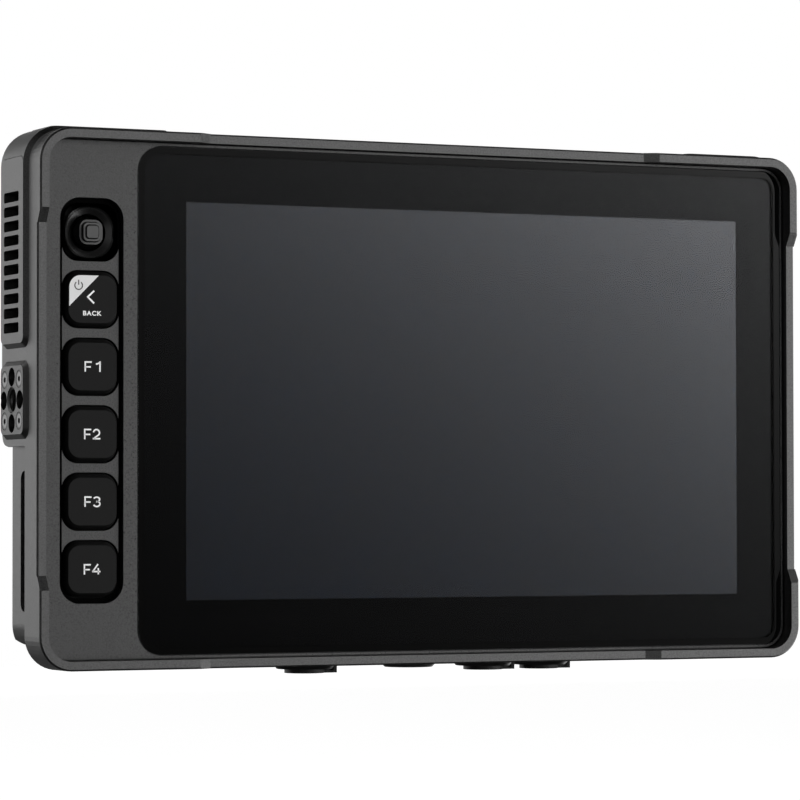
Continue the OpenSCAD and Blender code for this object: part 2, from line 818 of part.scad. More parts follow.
module mount_screw_set() {
    for (sx = [-1, 1], sy = [-1, 1])
        translate([sx * mount_screw_at, sy * mount_screw_at, pad_rise - fit])
            screw(mount_screw_r, 1.5, 1.2, 5, 0.75);
}

module left_mount() {
    color(body_grey)
        on_side("left")
            mount_plate();
}

module right_mount() {
    color(body_grey)
        on_side("right")
            mount_plate();
}

module top_mount() {
    color(body_grey)
        on_side("top")
            mount_plate();
}

// The bottom mount is a turned insert with a round chamfered flange.
module bottom_mount() {
    flange = bottom_flange_r;
    color(body_grey)
        difference() {
            union() {
                translate([0, 0, -thread_lead])
                    cylinder(r1 = flange - pad_rise, r2 = flange, h = pad_rise);
                cylinder(r = insert_body_r, h = thread_l);
            }
            translate([0, 0, -cut])
                cylinder(r = thread_r, h = thread_l + 2 * cut);
            translate([0, 0, -thread_lead - eps])
                cylinder(r1 = thread_r + thread_flare, r2 = thread_r, h = thread_lead + eps);
        }
}

module mount_screws() {
    color(steel)
        for (side = ["left", "right", "top"])
            on_side(side)
                mount_screw_set();
}

// ---- Face and screen ----

// The outline of the cover glass, grown by g: rounder corners beside the keys.
module glass_plate(g, y0, y1) {
    plate(glass_w + 2 * g, glass_h + 2 * g, glass_left_r + g, y0, y1, glass_x);
    plate(glass_w / 2 + g, glass_h + 2 * g, glass_right_r + g, y0, y1, glass_x + glass_w / 4 + g / 2);
}

module face_panel() {
    color(body_grey)
        difference() {
            plate(face_w, face_h, face_r, -face_front, -face_back);
            glass_plate(glass_gap, -face_front - cut, -lcd_front);
            plate(tray_w + 2 * seat, tray_h + 2 * seat, 1, -lcd_front - cut, -face_back + cut,
                screen_x);
            plate(channel_w, channel_l, channel_r, -face_front - cut, -face_back + cut, keys_x,
                channel_z);
        }
}

module cover_glass() {
    color([0.05, 0.05, 0.06, 0.5])
        glass_plate(0, -face_front, -glass_back);
}

module glass_adhesive() {
    color([0.02, 0.02, 0.02])
        difference() {
            glass_plate(-0.2, -glass_back + bond, -lcd_front);
            plate(screen_w, screen_h, 0.3, -glass_back - cut, -lcd_front + cut, screen_x);
        }
}

module lcd_panel() {
    color([0.13, 0.15, 0.18])
        plate(module_w, module_h, 0.5, -lcd_front, -lcd_back, screen_x);
}

module backlight() {
    color([0.75, 0.75, 0.75])
        difference() {
            plate(module_w, module_h, 0.5, -lcd_back, -backlight_back, screen_x);
            box([screen_x - 17, -backlight_back - 1, mid_z - module_h / 2 - cut],
                [screen_x + 17, -backlight_back + cut, mid_z - module_h / 2 + 3]);
        }
}

module display_tray() {
    foot_x = tray_w / 2 - tray_foot_in;
    foot_z = tray_h / 2 - tray_foot_in;
    color(steel) {
        difference() {
            plate(tray_w, tray_h, 0.9, -lcd_front + seat, -tray_back, screen_x);
            plate(module_w + 2 * module_gap, module_h + 2 * module_gap, 0.5, -lcd_front - cut,
                -backlight_back, screen_x);
            box([screen_x - 16, -backlight_back - cut, mid_z - 29],
                [screen_x + 16, -tray_back + cut, mid_z - 25]);
            for (sx = [-1, 1], s = [-1, 1])
                plate(tray_w * 0.28, tray_h * 0.26, 3, -backlight_back - cut, -tray_back + cut,
                    screen_x + sx * tray_w * 0.22, mid_z + s * tray_h * 0.24);
        }
        for (sx = [-1, 1], s = [-1, 1])
            rod_y(tray_foot_r, -tray_back - eps, -bulkhead_front - seat, screen_x + sx * foot_x,
                mid_z + s * foot_z);
    }
}

// ---- Keys ----

function key_z(i) = stick_z - i * key_pitch;

module key_frame() {
    color(body_grey)
        difference() {
            union() {
                plate(key_frame_w, key_n * key_pitch, 0.2, -key_frame_front,
                    -key_frame_front + key_bar_t + eps, keys_x, channel_z);
                plate(channel_w - 2 * seat, channel_l - 2 * seat, channel_r - seat,
                    -key_frame_front + key_bar_t, -face_back + 2 * seat, keys_x, channel_z);
                plate(channel_w + 2.5, channel_l + 2.5, channel_r + 1, -face_back + seat,
                    -key_frame_back, keys_x, channel_z);
            }
            for (i = [0 : key_n]) {
                plate(key_frame_w + 2 * seat, well_w, well_r, -key_frame_front - cut,
                    -key_frame_front + key_bar_t, keys_x, key_z(i));
                plate(well_w, well_w, well_r, -key_frame_front - cut, -key_frame_back + cut,
                    keys_x, key_z(i));
            }
        }
}

// One key: a domed cap, a skirt that holds it in and a nub that works the switch.
module key_cap(i) {
    z = key_z(i);
    shoulder = key_front - 0.4;
    root = key_front - 1.1;
    color(key_black) {
        hull() {
            plate(key_top_w, key_top_h, key_top_r, -key_front, -key_front + eps, keys_x, z);
            plate(key_top_w + 0.45, key_top_h + 0.9, key_top_r + 0.3, -shoulder, -shoulder + eps,
                keys_x, z);
            plate(key_base_w, key_base_w, well_r - key_gap, -root, -root + eps, keys_x, z);
        }
        plate(key_base_w, key_base_w, well_r - key_gap, -root, -key_skirt_front + eps, keys_x, z);
        plate(key_skirt_w, key_skirt_w, well_r, -key_skirt_front, -key_skirt_back, keys_x, z);
        rod_y(nub_r, -key_skirt_back - eps, -key_skirt_back + nub_l, keys_x, z);
    }
}

module back_key() {
    key_cap(1);
}

module f1_key() {
    key_cap(2);
}

module f2_key() {
    key_cap(3);
}

module f3_key() {
    key_cap(4);
}

module f4_key() {
    key_cap(5);
}

module key_switches() {
    color([0.16, 0.16, 0.17])
        for (i = [1 : key_n])
            difference() {
                plate(switch_w, switch_w, 0.6, -switch_front, -key_board_front - seat, keys_x,
                    key_z(i));
                rod_y(nub_r + 0.3, -switch_front - cut, -switch_front + nub_l - 0.1, keys_x,
                    key_z(i));
            }
}

module key_board() {
    color([0.05, 0.3, 0.16])
        plate(key_board_w, channel_l, 1.5, -key_board_front, -board_gap,
            keys_x + key_board_shift, channel_z);
}

// ---- Joystick ----

// A cone along Y on the joystick's axis.
module cone_y(r0, r1, y0, y1) {
    translate([keys_x, y0, stick_z])
        rotate([-90, 0, 0])
            cylinder(r1 = r0, r2 = r1, h = y1 - y0);
}

// The dish's bowl, a rounded square at the front that narrows to a round hole.
module dish_bowl() {
    w = dish_w - 2 * bowl_lip;
    mid_y = -key_frame_front + dish_d * bowl_mid;
    hull() {
        plate(w, w, well_r - bowl_lip, -key_frame_front - cut, -key_frame_front, keys_x, stick_z);
        rod_y(dish_r, mid_y, mid_y + eps, keys_x, stick_z);
    }
    hull() {
        rod_y(dish_r, mid_y - eps, mid_y, keys_x, stick_z);
        rod_y(dish_hole_r, -key_frame_front + dish_d - eps, -key_frame_front + dish_d, keys_x,
            stick_z);
    }
}

module joystick_dish() {
    back = key_frame_back - 0.2;
    color([0.06, 0.06, 0.06])
        difference() {
            union() {
                plate(dish_w, dish_w, well_r - fit, -key_frame_front, -back, keys_x, stick_z);
                plate(key_skirt_w, key_skirt_w, well_r, -key_frame_back + seat, -back + 0.5,
                    keys_x, stick_z);
            }
            dish_bowl();
            cone_y(dish_hole_r, dish_throat_r, -key_frame_front + dish_d - eps,
                -key_frame_front + dish_d + dish_hole_r - dish_throat_r);
            rod_y(dish_throat_r, -key_frame_front - cut, 0, keys_x, stick_z);
        }
}

// The housing on the key board, with bores for the gimbal's upright pins.
module joystick_housing() {
    color([0.2, 0.2, 0.2])
        difference() {
            plate(stick_box_w, stick_box_w, 0.8, -stick_box_front, -key_board_front - seat,
                keys_x, stick_z);
            rod_y(stick_bowl_r, -stick_box_front - cut, -key_board_front - seat - 0.9, keys_x,
                stick_z);
            translate([keys_x, -stick_pivot, stick_z - stick_box_w / 2 - cut])
                cylinder(r = trunnion_r + fit, h = stick_box_w + 2 * cut);
        }
}

// The ring that tilts left and right on upright pins.
module joystick_gimbal() {
    color([0.5, 0.5, 0.52])
        difference() {
            union() {
                rod_y(gimbal_r, -stick_pivot - gimbal_t / 2, -stick_pivot + gimbal_t / 2, keys_x,
                    stick_z);
                translate([keys_x, -stick_pivot, stick_z - gimbal_r - trunnion_l])
                    cylinder(r = trunnion_r, h = 2 * (gimbal_r + trunnion_l));
            }
            rod_y(gimbal_in_r, -stick_pivot - gimbal_t, -stick_pivot + gimbal_t, keys_x, stick_z);
            translate([keys_x - gimbal_r - cut, -stick_pivot, stick_z])
                rotate([0, 90, 0])
                    cylinder(r = trunnion_r + fit, h = 2 * (gimbal_r + cut));
        }
}

// The rod that tilts up and down in the gimbal on level pins.
module joystick_stem() {
    reach = gimbal_r - 0.15;
    color([0.5, 0.5, 0.52]) {
        rod_y(stick_rod_r, -stick_rod_front, -stick_pivot + 1.2, keys_x, stick_z);
        translate([keys_x - reach, -stick_pivot, stick_z])
            rotate([0, 90, 0])
                cylinder(r = trunnion_r, h = 2 * reach);
    }
}

// One step of the joystick's cap, with sloping sides.
module cap_step(w, corner, y0, y1) {
    hull() {
        plate(w, w, corner, y0, y0 + eps, keys_x, stick_z);
        plate(w + 2 * stick_slope, w + 2 * stick_slope, corner + stick_slope, y1, y1 + eps,
            keys_x, stick_z);
    }
}

// The stepped cap that slides on the rod, with a skirt that closes the dish's hole.
module joystick_cap() {
    color([0.3, 0.3, 0.3])
        difference() {
            union() {
                cap_step(stick_top_w, 0.65, -stick_top, -stick_mid);
                cap_step(stick_mid_w, 1.1, -stick_mid, -stick_low);
                plate(stick_cap_w, stick_cap_w, 1.9, -stick_low, -stick_low + stick_cap_t,
                    keys_x, stick_z);
                difference() {
                    cone_y(stick_neck_r, stick_skirt_r, -stick_neck_y, -stick_skirt_y);
                    cone_y(stick_neck_r - stick_skirt_t, stick_skirt_r - stick_skirt_t,
                        -stick_neck_y, -stick_skirt_y + eps);
                }
                rod_y(stick_sleeve_r, -stick_low + stick_cap_t - eps, -stick_sleeve_back, keys_x,
                    stick_z);
            }
            rod_y(stick_rod_r + fit, -stick_rod_front - stick_travel - seat,
                -stick_sleeve_back + cut, keys_x, stick_z);
        }
}

// ---- Electronics and cooling ----

module main_board() {
    y0 = -board_front;
    y1 = y0 + board_t;
    board_w = board_x1 - board_x0;
    board_x = (board_x0 + board_x1) / 2;
    color([0.05, 0.3, 0.16]) {
        difference() {
            plate(board_w, board_h, 2, y0, y1, board_x);
            for (x = [board_x0 + board_screw_in, board_x1 - board_screw_in], s = [-1, 1])
                rod_y(1.2 + fit, y0 - cut, y1 + cut, x, mid_z + s * (board_h / 2 - board_screw_in));
        }
        for (x = [-chip_at, 0, chip_at])
            plate(chip_w, chip_w, 0.5, y1 - eps, y1 + chip_t, x * sink_half, fan_z);
        for (i = [1 : part_n])
            plate(part_w, 1.3 * part_w, 0.4, y1 - eps, y1 + 0.3 * part_w,
                board_x0 + i * board_w / (part_n + 1), mid_z - board_h * 0.21);
        plate(board_w / 5, 0.6 * part_w, 0.4, y1 - eps, y1 + 0.4 * part_w, board_x,
            mid_z - board_h * 0.4);
    }
}

module board_screws() {
    y1 = -board_front + board_t;
    color(steel)
        for (x = [board_x0 + board_screw_in, board_x1 - board_screw_in], s = [-1, 1])
            translate([x, y1 + 1.4 + fit, mid_z + s * (board_h / 2 - board_screw_in)])
                rotate([-90, 0, 0])
                    screw(board_head_r, 1.4, 1.2, board_screw_l, 0.9);
}

module heat_sink() {
    y0 = sink_y0;
    sink_h = fin_n * fin_pitch + 2;
    inner = fan_w / 2 + 2;
    color([0.62, 0.63, 0.65]) {
        plate(2 * sink_half, sink_h, 1, y0, y0 + sink_t, 0, fan_z);
        for (s = [0, 1])
            mirror([s, 0, 0])
                for (i = [0 : fin_n - 1])
                    translate([0, 0, fan_z + (i - (fin_n - 1) / 2) * fin_pitch])
                        box([inner, y0 + sink_t - eps, -fin_t / 2],
                            [sink_half, y0 + sink_t + fin_h, fin_t / 2]);
    }
}

module fan_frame() {
    color([0.08, 0.08, 0.08])
        difference() {
            union() {
                difference() {
                    plate(fan_w, fan_w, 2.5, fan_y0, fan_y1, 0, fan_z);
                    rod_y(fan_bore_r, fan_y0 - cut, fan_y1 + cut, 0, fan_z);
                }
                rod_y(fan_hub_r - 0.6, fan_y0, fan_y0 + 1, 0, fan_z);
                rod_y(2.6, fan_y0, fan_y0 + 3.4, 0, fan_z);
                for (a = [45 : 90 : 315])
                    translate([0, 0, fan_z])
                        rotate([0, a, 0])
                            box([-0.9, fan_y0, fan_hub_r - 1.4], [0.9, fan_y0 + 1, fan_bore_r + 0.6]);
            }
            rod_y(fan_shaft_r + fit, fan_y0 + 0.6, fan_y1, 0, fan_z);
            for (sx = [-1, 1], s = [-1, 1])
                rod_y(1.45 + fit, fan_y0 - cut, fan_y1 + cut, sx * fan_screw_at,
                    fan_z + s * fan_screw_at);
        }
}

// One blade: a thin arc from the hub out, swept round as it rises.
module fan_blade(height) {
    tip = fan_bore_r - 0.7;
    root = fan_hub_r - 0.5;
    lean = 20;
    n = 6;
    outer = [for (i = [0 : n]) let (r = root + (tip - root) * i / n, a = lean * i / n)
        r * [cos(a), sin(a)]];
    inner = [for (i = [n : -1 : 0]) let (r = root + (tip - root) * i / n, a = lean * i / n + 6 - i / n * 2)
        r * [cos(a), sin(a)]];
    linear_extrude(height, twist = -32, slices = 4)
        polygon(concat(outer, inner));
}

module fan_rotor() {
    y0 = fan_y0 + 1.5;
    y1 = fan_y1 - 0.8;
    color([0.12, 0.12, 0.12]) {
        difference() {
            rod_y(fan_hub_r, y0, y1, 0, fan_z);
            rod_y(fan_hub_r - 1.2, y0 - cut, y1 - 1.4, 0, fan_z);
        }
        rod_y(fan_shaft_r, fan_y0 + 0.8, y1 - 1, 0, fan_z);
        for (i = [0 : fan_blades - 1])
            translate([0, y1 - 0.4, fan_z])
                rotate([90, 0, 0])
                    rotate([0, 0, 360 * i / fan_blades])
                        fan_blade(y1 - y0 - 0.8);
    }
}

module fan_screws() {
    color(steel)
        for (sx = [-1, 1], s = [-1, 1])
            translate([sx * fan_screw_at, cover_y1, fan_z + s * fan_screw_at])
                rotate([-90, 0, 0])
                    screw(2.4, 1.2, 1.45, fan_screw_l, 0.9);
}

// Rings and spokes that close the rear cover's round opening.
module fan_grille() {
    y0 = cover_y1 - cover_wall;
    step = 3.2;
    color(body_grey)
        difference() {
            union() {
                for (r = [grille_r : -step : step])
                    difference() {
                        rod_y(r, y0, cover_y1, 0, fan_z);
                        rod_y(r - 1.3, y0 - cut, cover_y1 + cut, 0, fan_z);
                    }
                rod_y(3.4, y0, cover_y1, 0, fan_z);
                for (a = [0 : 60 : 300])
                    translate([0, 0, fan_z])
                        rotate([0, a, 0])
                            box([-0.7, y0, 2], [0.7, cover_y1 - 0.3, grille_r - 0.5]);
            }
            for (sx = [-1, 1], s = [-1, 1])
                rod_y(2.4 + 0.3, y0 - cut, cover_y1 + cut, sx * fan_screw_at,
                    fan_z + s * fan_screw_at);
        }
}

// ---- Rear cover ----

module rear_seal() {
    color([0.05, 0.05, 0.05])
        seal_ring(0);
}

module cover_block(inset, y0, y1) {
    hull() {
        plate(cover_w - 2 * inset, cover_h - 2 * inset, cover_r - inset, y0,
            cover_y0 + cover_rim_t);
        plate(back_w - 2 * inset, back_h - 2 * inset, cover_r + 2 - inset, y1 - eps, y1);
    }
}

module rear_cover() {
    color(side_grey)
        difference() {
            union() {
                difference() {
                    cover_block(0, cover_y0, cover_y1);
                    intersection() {
                        cover_block(cover_wall, cover_y0 - cut, cover_y1 - cover_wall);
                        plate(rear_open_w, rear_open_h, cover_r, cover_y0 - cut, cover_y1);
                    }
                }
                for (sx = [-1, 1], s = [-1, 1])
                    rod_y(boss_r, cover_y1 - insert_l - seat, cover_y1 - cover_wall + eps,
                        sx * vesa / 2, mid_z + s * vesa / 2);
            }
            rod_y(grille_r + seat, cover_y0, cover_y1 + cut, 0, fan_z);
            for (sx = [-1, 1], s = [-1, 1]) {
                rod_y(insert_r + fit, cover_y1 - insert_l - cut, cover_y1 + cut, sx * vesa / 2,
                    mid_z + s * vesa / 2);
                translate([sx * fan_screw_at, 0, fan_z + s * fan_screw_at]) {
                    rod_y(1.45 + 0.15, cover_y0, cover_y1 + cut);
                    rod_y(2.4 + 0.15, cover_y1 - 1.2 - fit, cover_y1 + cut);
                }
            }
            at_cover_screws() {
                rod_y(1.3 + 0.15, cover_y0 - cut, cover_y1);
                rod_y(cover_screw_r + 0.2, cover_y0 + cover_screw_seat, cover_y1 + cut);
            }
        }
}

module rear_cover_screws() {
    color(steel)
        at_cover_screws()
            translate([0, cover_y0 + cover_screw_seat + 1.6 + fit, 0])
                rotate([-90, 0, 0])
                    screw(cover_screw_r, 1.6, 1.3, cover_screw_l, 1.1);
}

module rear_inserts() {
    color([0.7, 0.6, 0.35])
        for (sx = [-1, 1], s = [-1, 1])
            difference() {
                rod_y(insert_r, cover_y1 - insert_l, cover_y1, sx * vesa / 2,
                    mid_z + s * vesa / 2);
                rod_y(insert_bore_r, cover_y1 - insert_l - cut, cover_y1 + cut, sx * vesa / 2,
                    mid_z + s * vesa / 2);
            }
}

// ---- Sockets ----

module card_socket() {
    z = card_z;
    w = card_w + 4;
    t = card_t + 0.8;
    color(steel)
        difference() {
            box([card_x0, card_y - t / 2, z - w / 2], [card_x0 + card_l, card_y + t / 2, z + w / 2]);
            box([card_x0 - cut, card_y - card_t / 2, z - card_w / 2],
                [card_x0 + card_l - 1, card_y + card_t / 2, z + card_w / 2]);
        }
}

// A round socket that hangs from the bottom, with a drilled lug beside its barrel.
module round_socket(x) {
    lug_y = 2;
    lug_x1 = flange_r + 0.2;
    color([0.1, 0.1, 0.1])
        translate([x, 0, body_z0])
            difference() {
                union() {
                    translate([0, 0, -pad_rise])
                        cylinder(r1 = flange_r - pad_rise * 0.8, r2 = flange_r, h = pad_rise);
                    translate([0, 0, -barrel_drop])
                        cylinder(r = barrel_r, h = barrel_drop);
                    translate([0, 0, -eps])
                        cylinder(r = barrel_r + 1.2, h = socket_h + eps);
                    box([barrel_r - 0.7, -lug_y, -barrel_drop], [lug_x1, lug_y, -0.05]);
                }
                translate([0, 0, -barrel_drop - cut])
                    cylinder(r = barrel_bore_r, h = barrel_drop + socket_h - 2 + cut);
                translate([barrel_r + 1.6, -lug_y - cut, -barrel_drop + 1.05])
                    rotate([-90, 0, 0])
                        cylinder(r = 0.6, h = 2 * (lug_y + cut));
            }
}

module power_socket() {
    round_socket(socket_x[0]);
}

module video_in_socket() {
    round_socket(socket_x[1]);
}

module video_out_socket() {
    round_socket(socket_x[2]);
}

// Contact pins on their insulators: two in the power socket, one in each video socket.
module socket_contacts() {
    floor_z = body_z0 + socket_h - 2;
    pin_l = 6.5;
    color([0.75, 0.62, 0.3]) {
        for (s = [-1, 1])
            translate([-power_x, s * 1.6, floor_z - pin_l])
                cylinder(r = 0.65, h = pin_l);
        translate([-power_x, 0, floor_z - 1.5])
            cylinder(r = barrel_bore_r - seat, h = 1.5 - fit);
        for (x = [video_x, video_x + video_pitch]) {
            translate([x, 0, floor_z - pin_l])
                cylinder(r = 0.7, h = pin_l);
            translate([x, 0, floor_z - 1.5])
                cylinder(r = barrel_bore_r - seat, h = 1.5 - fit);
        }
    }
}

// A flat digital video socket that faces right, with its contact tongue.
module flat_socket(z) {
    wall = 0.4;
    translate([hdmi_x1 - hdmi_l, hdmi_y, z])
        rotate([0, 90, 0]) {
            difference() {
                linear_extrude(hdmi_l)
                    rounded(hdmi_w, hdmi_t, 0.9);
                translate([0, 0, hdmi_back])
                    linear_extrude(hdmi_l)
                        rounded(hdmi_w - 2 * wall, hdmi_t - 2 * wall, 0.6);
            }
            translate([-hdmi_w / 2 + hdmi_tongue_in, -0.6, hdmi_back - eps])
                cube([hdmi_w - 2 * hdmi_tongue_in, 1.2, hdmi_tongue_l]);
        }
}

module hdmi_in_socket() {
    color(steel)
        flat_socket(hdmi_z[0]);
}

module hdmi_out_socket() {
    color(steel)
        flat_socket(hdmi_z[1]);
}

chassis_frame();
face_panel();
cover_glass();
glass_adhesive();
lcd_panel();
backlight();
display_tray();
key_frame();
back_key();
f1_key();
f2_key();
f3_key();
f4_key();
key_switches();
key_board();
joystick_dish();
joystick_housing();
joystick_gimbal();
joystick_stem();
joystick_cap();
main_board();
board_screws();
heat_sink();
fan_frame();
fan_rotor();
fan_screws();
fan_grille();
rear_seal();
rear_cover();
rear_cover_screws();
rear_inserts();
left_mount();
right_mount();
top_mount();
bottom_mount();
mount_screws();
card_socket();
power_socket();
video_in_socket();
video_out_socket();
socket_contacts();
hdmi_in_socket();
hdmi_out_socket();
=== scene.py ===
"""A seven inch on-camera field monitor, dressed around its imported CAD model.

Metres, in the CAD's own frame: +Z up, the screen faces -Y, +X to the right seen from the front.
"""
import json
import math

import bpy
from mathutils import Matrix, Vector


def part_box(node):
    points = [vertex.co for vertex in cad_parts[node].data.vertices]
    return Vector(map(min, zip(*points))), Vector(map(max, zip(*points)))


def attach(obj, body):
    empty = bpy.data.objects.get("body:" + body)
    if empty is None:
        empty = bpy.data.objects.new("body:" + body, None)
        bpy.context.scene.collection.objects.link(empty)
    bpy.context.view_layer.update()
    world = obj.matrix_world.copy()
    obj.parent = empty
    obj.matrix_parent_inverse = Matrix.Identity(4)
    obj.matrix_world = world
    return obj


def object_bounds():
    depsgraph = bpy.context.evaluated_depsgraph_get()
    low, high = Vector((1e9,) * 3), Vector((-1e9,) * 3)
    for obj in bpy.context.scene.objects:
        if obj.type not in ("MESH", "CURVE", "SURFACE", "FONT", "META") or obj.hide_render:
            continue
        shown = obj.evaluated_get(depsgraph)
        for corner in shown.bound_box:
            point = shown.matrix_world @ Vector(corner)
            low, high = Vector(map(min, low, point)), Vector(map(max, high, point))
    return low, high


MM = 0.001
KEY_BAR_DEPTH = 0.9 * MM         # thickness of the grey bars between the keys; deeper, the key frame gets painted shade
STICK_TIERS = 1.5 * MM           # depth of the joystick's grey steps; the risers and what lies deeper get painted shade
BOWL_DEPTHS = (0.75 * MM, 1.57 * MM)     # the glossy band of the joystick's dish; outside it the dish gets painted shade

GRAIN_DETAIL = 2.0
GRAIN_HEIGHT = 0.05 * MM
MIX_A, MIX_B, MIX_RESULT = 6, 7, 2       # the colour sockets of a Mix node
BLACK = (0, 0, 0, 1)
WHITE = (1, 1, 1, 1)

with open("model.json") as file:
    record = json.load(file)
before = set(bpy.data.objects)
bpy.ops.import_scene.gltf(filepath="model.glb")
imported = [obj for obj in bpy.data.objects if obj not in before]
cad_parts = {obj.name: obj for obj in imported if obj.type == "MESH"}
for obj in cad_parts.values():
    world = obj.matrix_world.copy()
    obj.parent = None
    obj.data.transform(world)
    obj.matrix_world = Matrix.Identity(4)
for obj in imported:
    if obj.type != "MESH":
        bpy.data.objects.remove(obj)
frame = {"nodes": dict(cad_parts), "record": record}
cad_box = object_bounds()


# ---- Places taken from the frame ----

def middle(node):
    """The middle of a CAD node's box."""
    low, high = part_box(node)
    return (low + high) / 2


def front(node):
    """How far forward a CAD node reaches."""
    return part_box(node)[0].y


# ---- Finishes ----

def srgb(value):
    """A linear grey or colour from screen values of 0 to 255."""
    channels = value if isinstance(value, tuple) else (value, value, value)
    linear = []
    for c in channels:
        c /= 255
        linear.append(c / 12.92 if c <= 0.04045 else ((c + 0.055) / 1.055) ** 2.4)
    return (*linear, 1.0)


def new_group(name, inputs, outputs):
    """An empty shader node group with its input and output nodes."""
    group = bpy.data.node_groups.new(name, "ShaderNodeTree")
    for label, kind, default in inputs:
        socket = group.interface.new_socket(label, in_out="INPUT", socket_type=kind)
        socket.default_value = default
    for label, kind in outputs:
        group.interface.new_socket(label, in_out="OUTPUT", socket_type=kind)
    return group, group.nodes.new("NodeGroupInput"), group.nodes.new("NodeGroupOutput")


def fine_grain_group():
    """Bead-blasted metal or moulded plastic: a fine pebbled normal and slightly uneven gloss."""
    group, given, out = new_group(
        "Fine grain",
        [("Colour", "NodeSocketColor", (0.2, 0.2, 0.2, 1)),
         ("Roughness", "NodeSocketFloat", 0.5),
         ("Grains per metre", "NodeSocketFloat", 5000.0),
         ("Depth", "NodeSocketFloat", 0.2),
         ("Mottle", "NodeSocketFloat", 0.06)],
        [("Colour", "NodeSocketColor"), ("Roughness", "NodeSocketFloat"),
         ("Normal", "NodeSocketVector")])
    link = group.links.new
    place = group.nodes.new("ShaderNodeTexCoord")
    grain = group.nodes.new("ShaderNodeTexNoise")
    grain.inputs["Detail"].default_value = GRAIN_DETAIL
    link(place.outputs["Object"], grain.inputs["Vector"])
    link(given.outputs["Grains per metre"], grain.inputs["Scale"])

    bump = group.nodes.new("ShaderNodeBump")
    bump.inputs["Distance"].default_value = GRAIN_HEIGHT
    link(given.outputs["Depth"], bump.inputs["Strength"])
    link(grain.outputs["Fac"], bump.inputs["Height"])
    link(bump.outputs["Normal"], out.inputs["Normal"])

    centred = group.nodes.new("ShaderNodeMath")
    centred.operation = "SUBTRACT"
    centred.inputs[1].default_value = 0.5
    link(grain.outputs["Fac"], centred.inputs[0])
    amount = group.nodes.new("ShaderNodeMath")
    amount.operation = "MULTIPLY_ADD"
    amount.inputs[2].default_value = 1.0
    link(centred.outputs[0], amount.inputs[0])
    link(given.outputs["Mottle"], amount.inputs[1])
    tint = group.nodes.new("ShaderNodeVectorMath")
    tint.operation = "SCALE"
    link(given.outputs["Colour"], tint.inputs[0])
    link(amount.outputs[0], tint.inputs["Scale"])
    link(tint.outputs[0], out.inputs["Colour"])
    uneven = group.nodes.new("ShaderNodeMath")
    uneven.operation = "MULTIPLY"
    link(given.outputs["Roughness"], uneven.inputs[0])
    link(amount.outputs[0], uneven.inputs[1])
    link(uneven.outputs[0], out.inputs["Roughness"])
    return group


FINE_GRAIN = fine_grain_group()


def material(name, **sockets):
    """A Principled material with the sockets given by name, underscores for spaces."""
    mat = bpy.data.materials.new(name)
    mat.use_nodes = True
    shader = mat.node_tree.nodes["Principled BSDF"]
    for key, value in sockets.items():
        shader.inputs[key.replace("_", " ")].default_value = value
    return mat


def grained(name, colour, roughness, grains=5000.0, depth=0.2, mottle=0.06, **sockets):
    """A material whose colour, gloss and normal come from the fine grain."""
    mat = material(name, **sockets)
    tree = mat.node_tree
    shader = tree.nodes["Principled BSDF"]
    node = tree.nodes.new("ShaderNodeGroup")
    node.node_tree = FINE_GRAIN
    node.inputs["Colour"].default_value = colour
    node.inputs["Roughness"].default_value = roughness
    node.inputs["Grains per metre"].default_value = grains
    node.inputs["Depth"].default_value = depth
    node.inputs["Mottle"].default_value = mottle
    tree.links.new(node.outputs["Colour"], shader.inputs["Base Color"])
    tree.links.new(node.outputs["Roughness"], shader.inputs["Roughness"])
    tree.links.new(node.outputs["Normal"], shader.inputs["Normal"])
    return mat


def front_mask_group():
    """1 on a piece's front faces that lie before a given depth, 0 on its sides and behind it, which
    then get painted shade.
    """
    group, given, out = new_group(
        "Front mask",
        [("Deepest", "NodeSocketFloat", 0.0), ("Least facing", "NodeSocketFloat", 0.9)],
        [("Mask", "NodeSocketFloat")])
    link = group.links.new
    place = group.nodes.new("ShaderNodeTexCoord")
    where = group.nodes.new("ShaderNodeSeparateXYZ")
    link(place.outputs["Object"], where.inputs[0])
    before = group.nodes.new("ShaderNodeMath")
    before.operation = "LESS_THAN"
    link(where.outputs["Y"], before.inputs[0])
    link(given.outputs["Deepest"], before.inputs[1])
    faced = group.nodes.new("ShaderNodeVectorMath")
    faced.operation = "DOT_PRODUCT"
    faced.inputs[1].default_value = (0, -1, 0)
    link(place.outputs["Normal"], faced.inputs[0])
    enough = group.nodes.new("ShaderNodeMath")
    enough.operation = "GREATER_THAN"
    link(faced.outputs["Value"], enough.inputs[0])
    link(given.outputs["Least facing"], enough.inputs[1])
    both = group.nodes.new("ShaderNodeMath")
    both.operation = "MULTIPLY"
    link(before.outputs[0], both.inputs[0])
    link(enough.outputs[0], both.inputs[1])
    link(both.outputs[0], out.inputs["Mask"])
    return group


FRONT_MASK = front_mask_group()


def paint_shade_behind(mat, deepest, least_facing, black):
    """Leaves a grained material's colour on the front faces only and paints the rest black as
    painted shade.
    """
    tree = mat.node_tree
    grain = next(n for n in tree.nodes if n.type == "GROUP")
    mask = tree.nodes.new("ShaderNodeGroup")
    mask.node_tree = FRONT_MASK
    mask.inputs["Deepest"].default_value = deepest
    mask.inputs["Least facing"].default_value = least_facing
    mix = tree.nodes.new("ShaderNodeMix")
    mix.data_type = "RGBA"
    # the black given here is painted shade on the sides and deeper parts
    mix.inputs[MIX_A].default_value = black
    mix.inputs[MIX_B].default_value = grain.inputs["Colour"].default_value
    tree.links.new(mask.outputs["Mask"], mix.inputs[0])
    tree.links.new(mix.outputs[MIX_RESULT], grain.inputs["Colour"])
    return mat


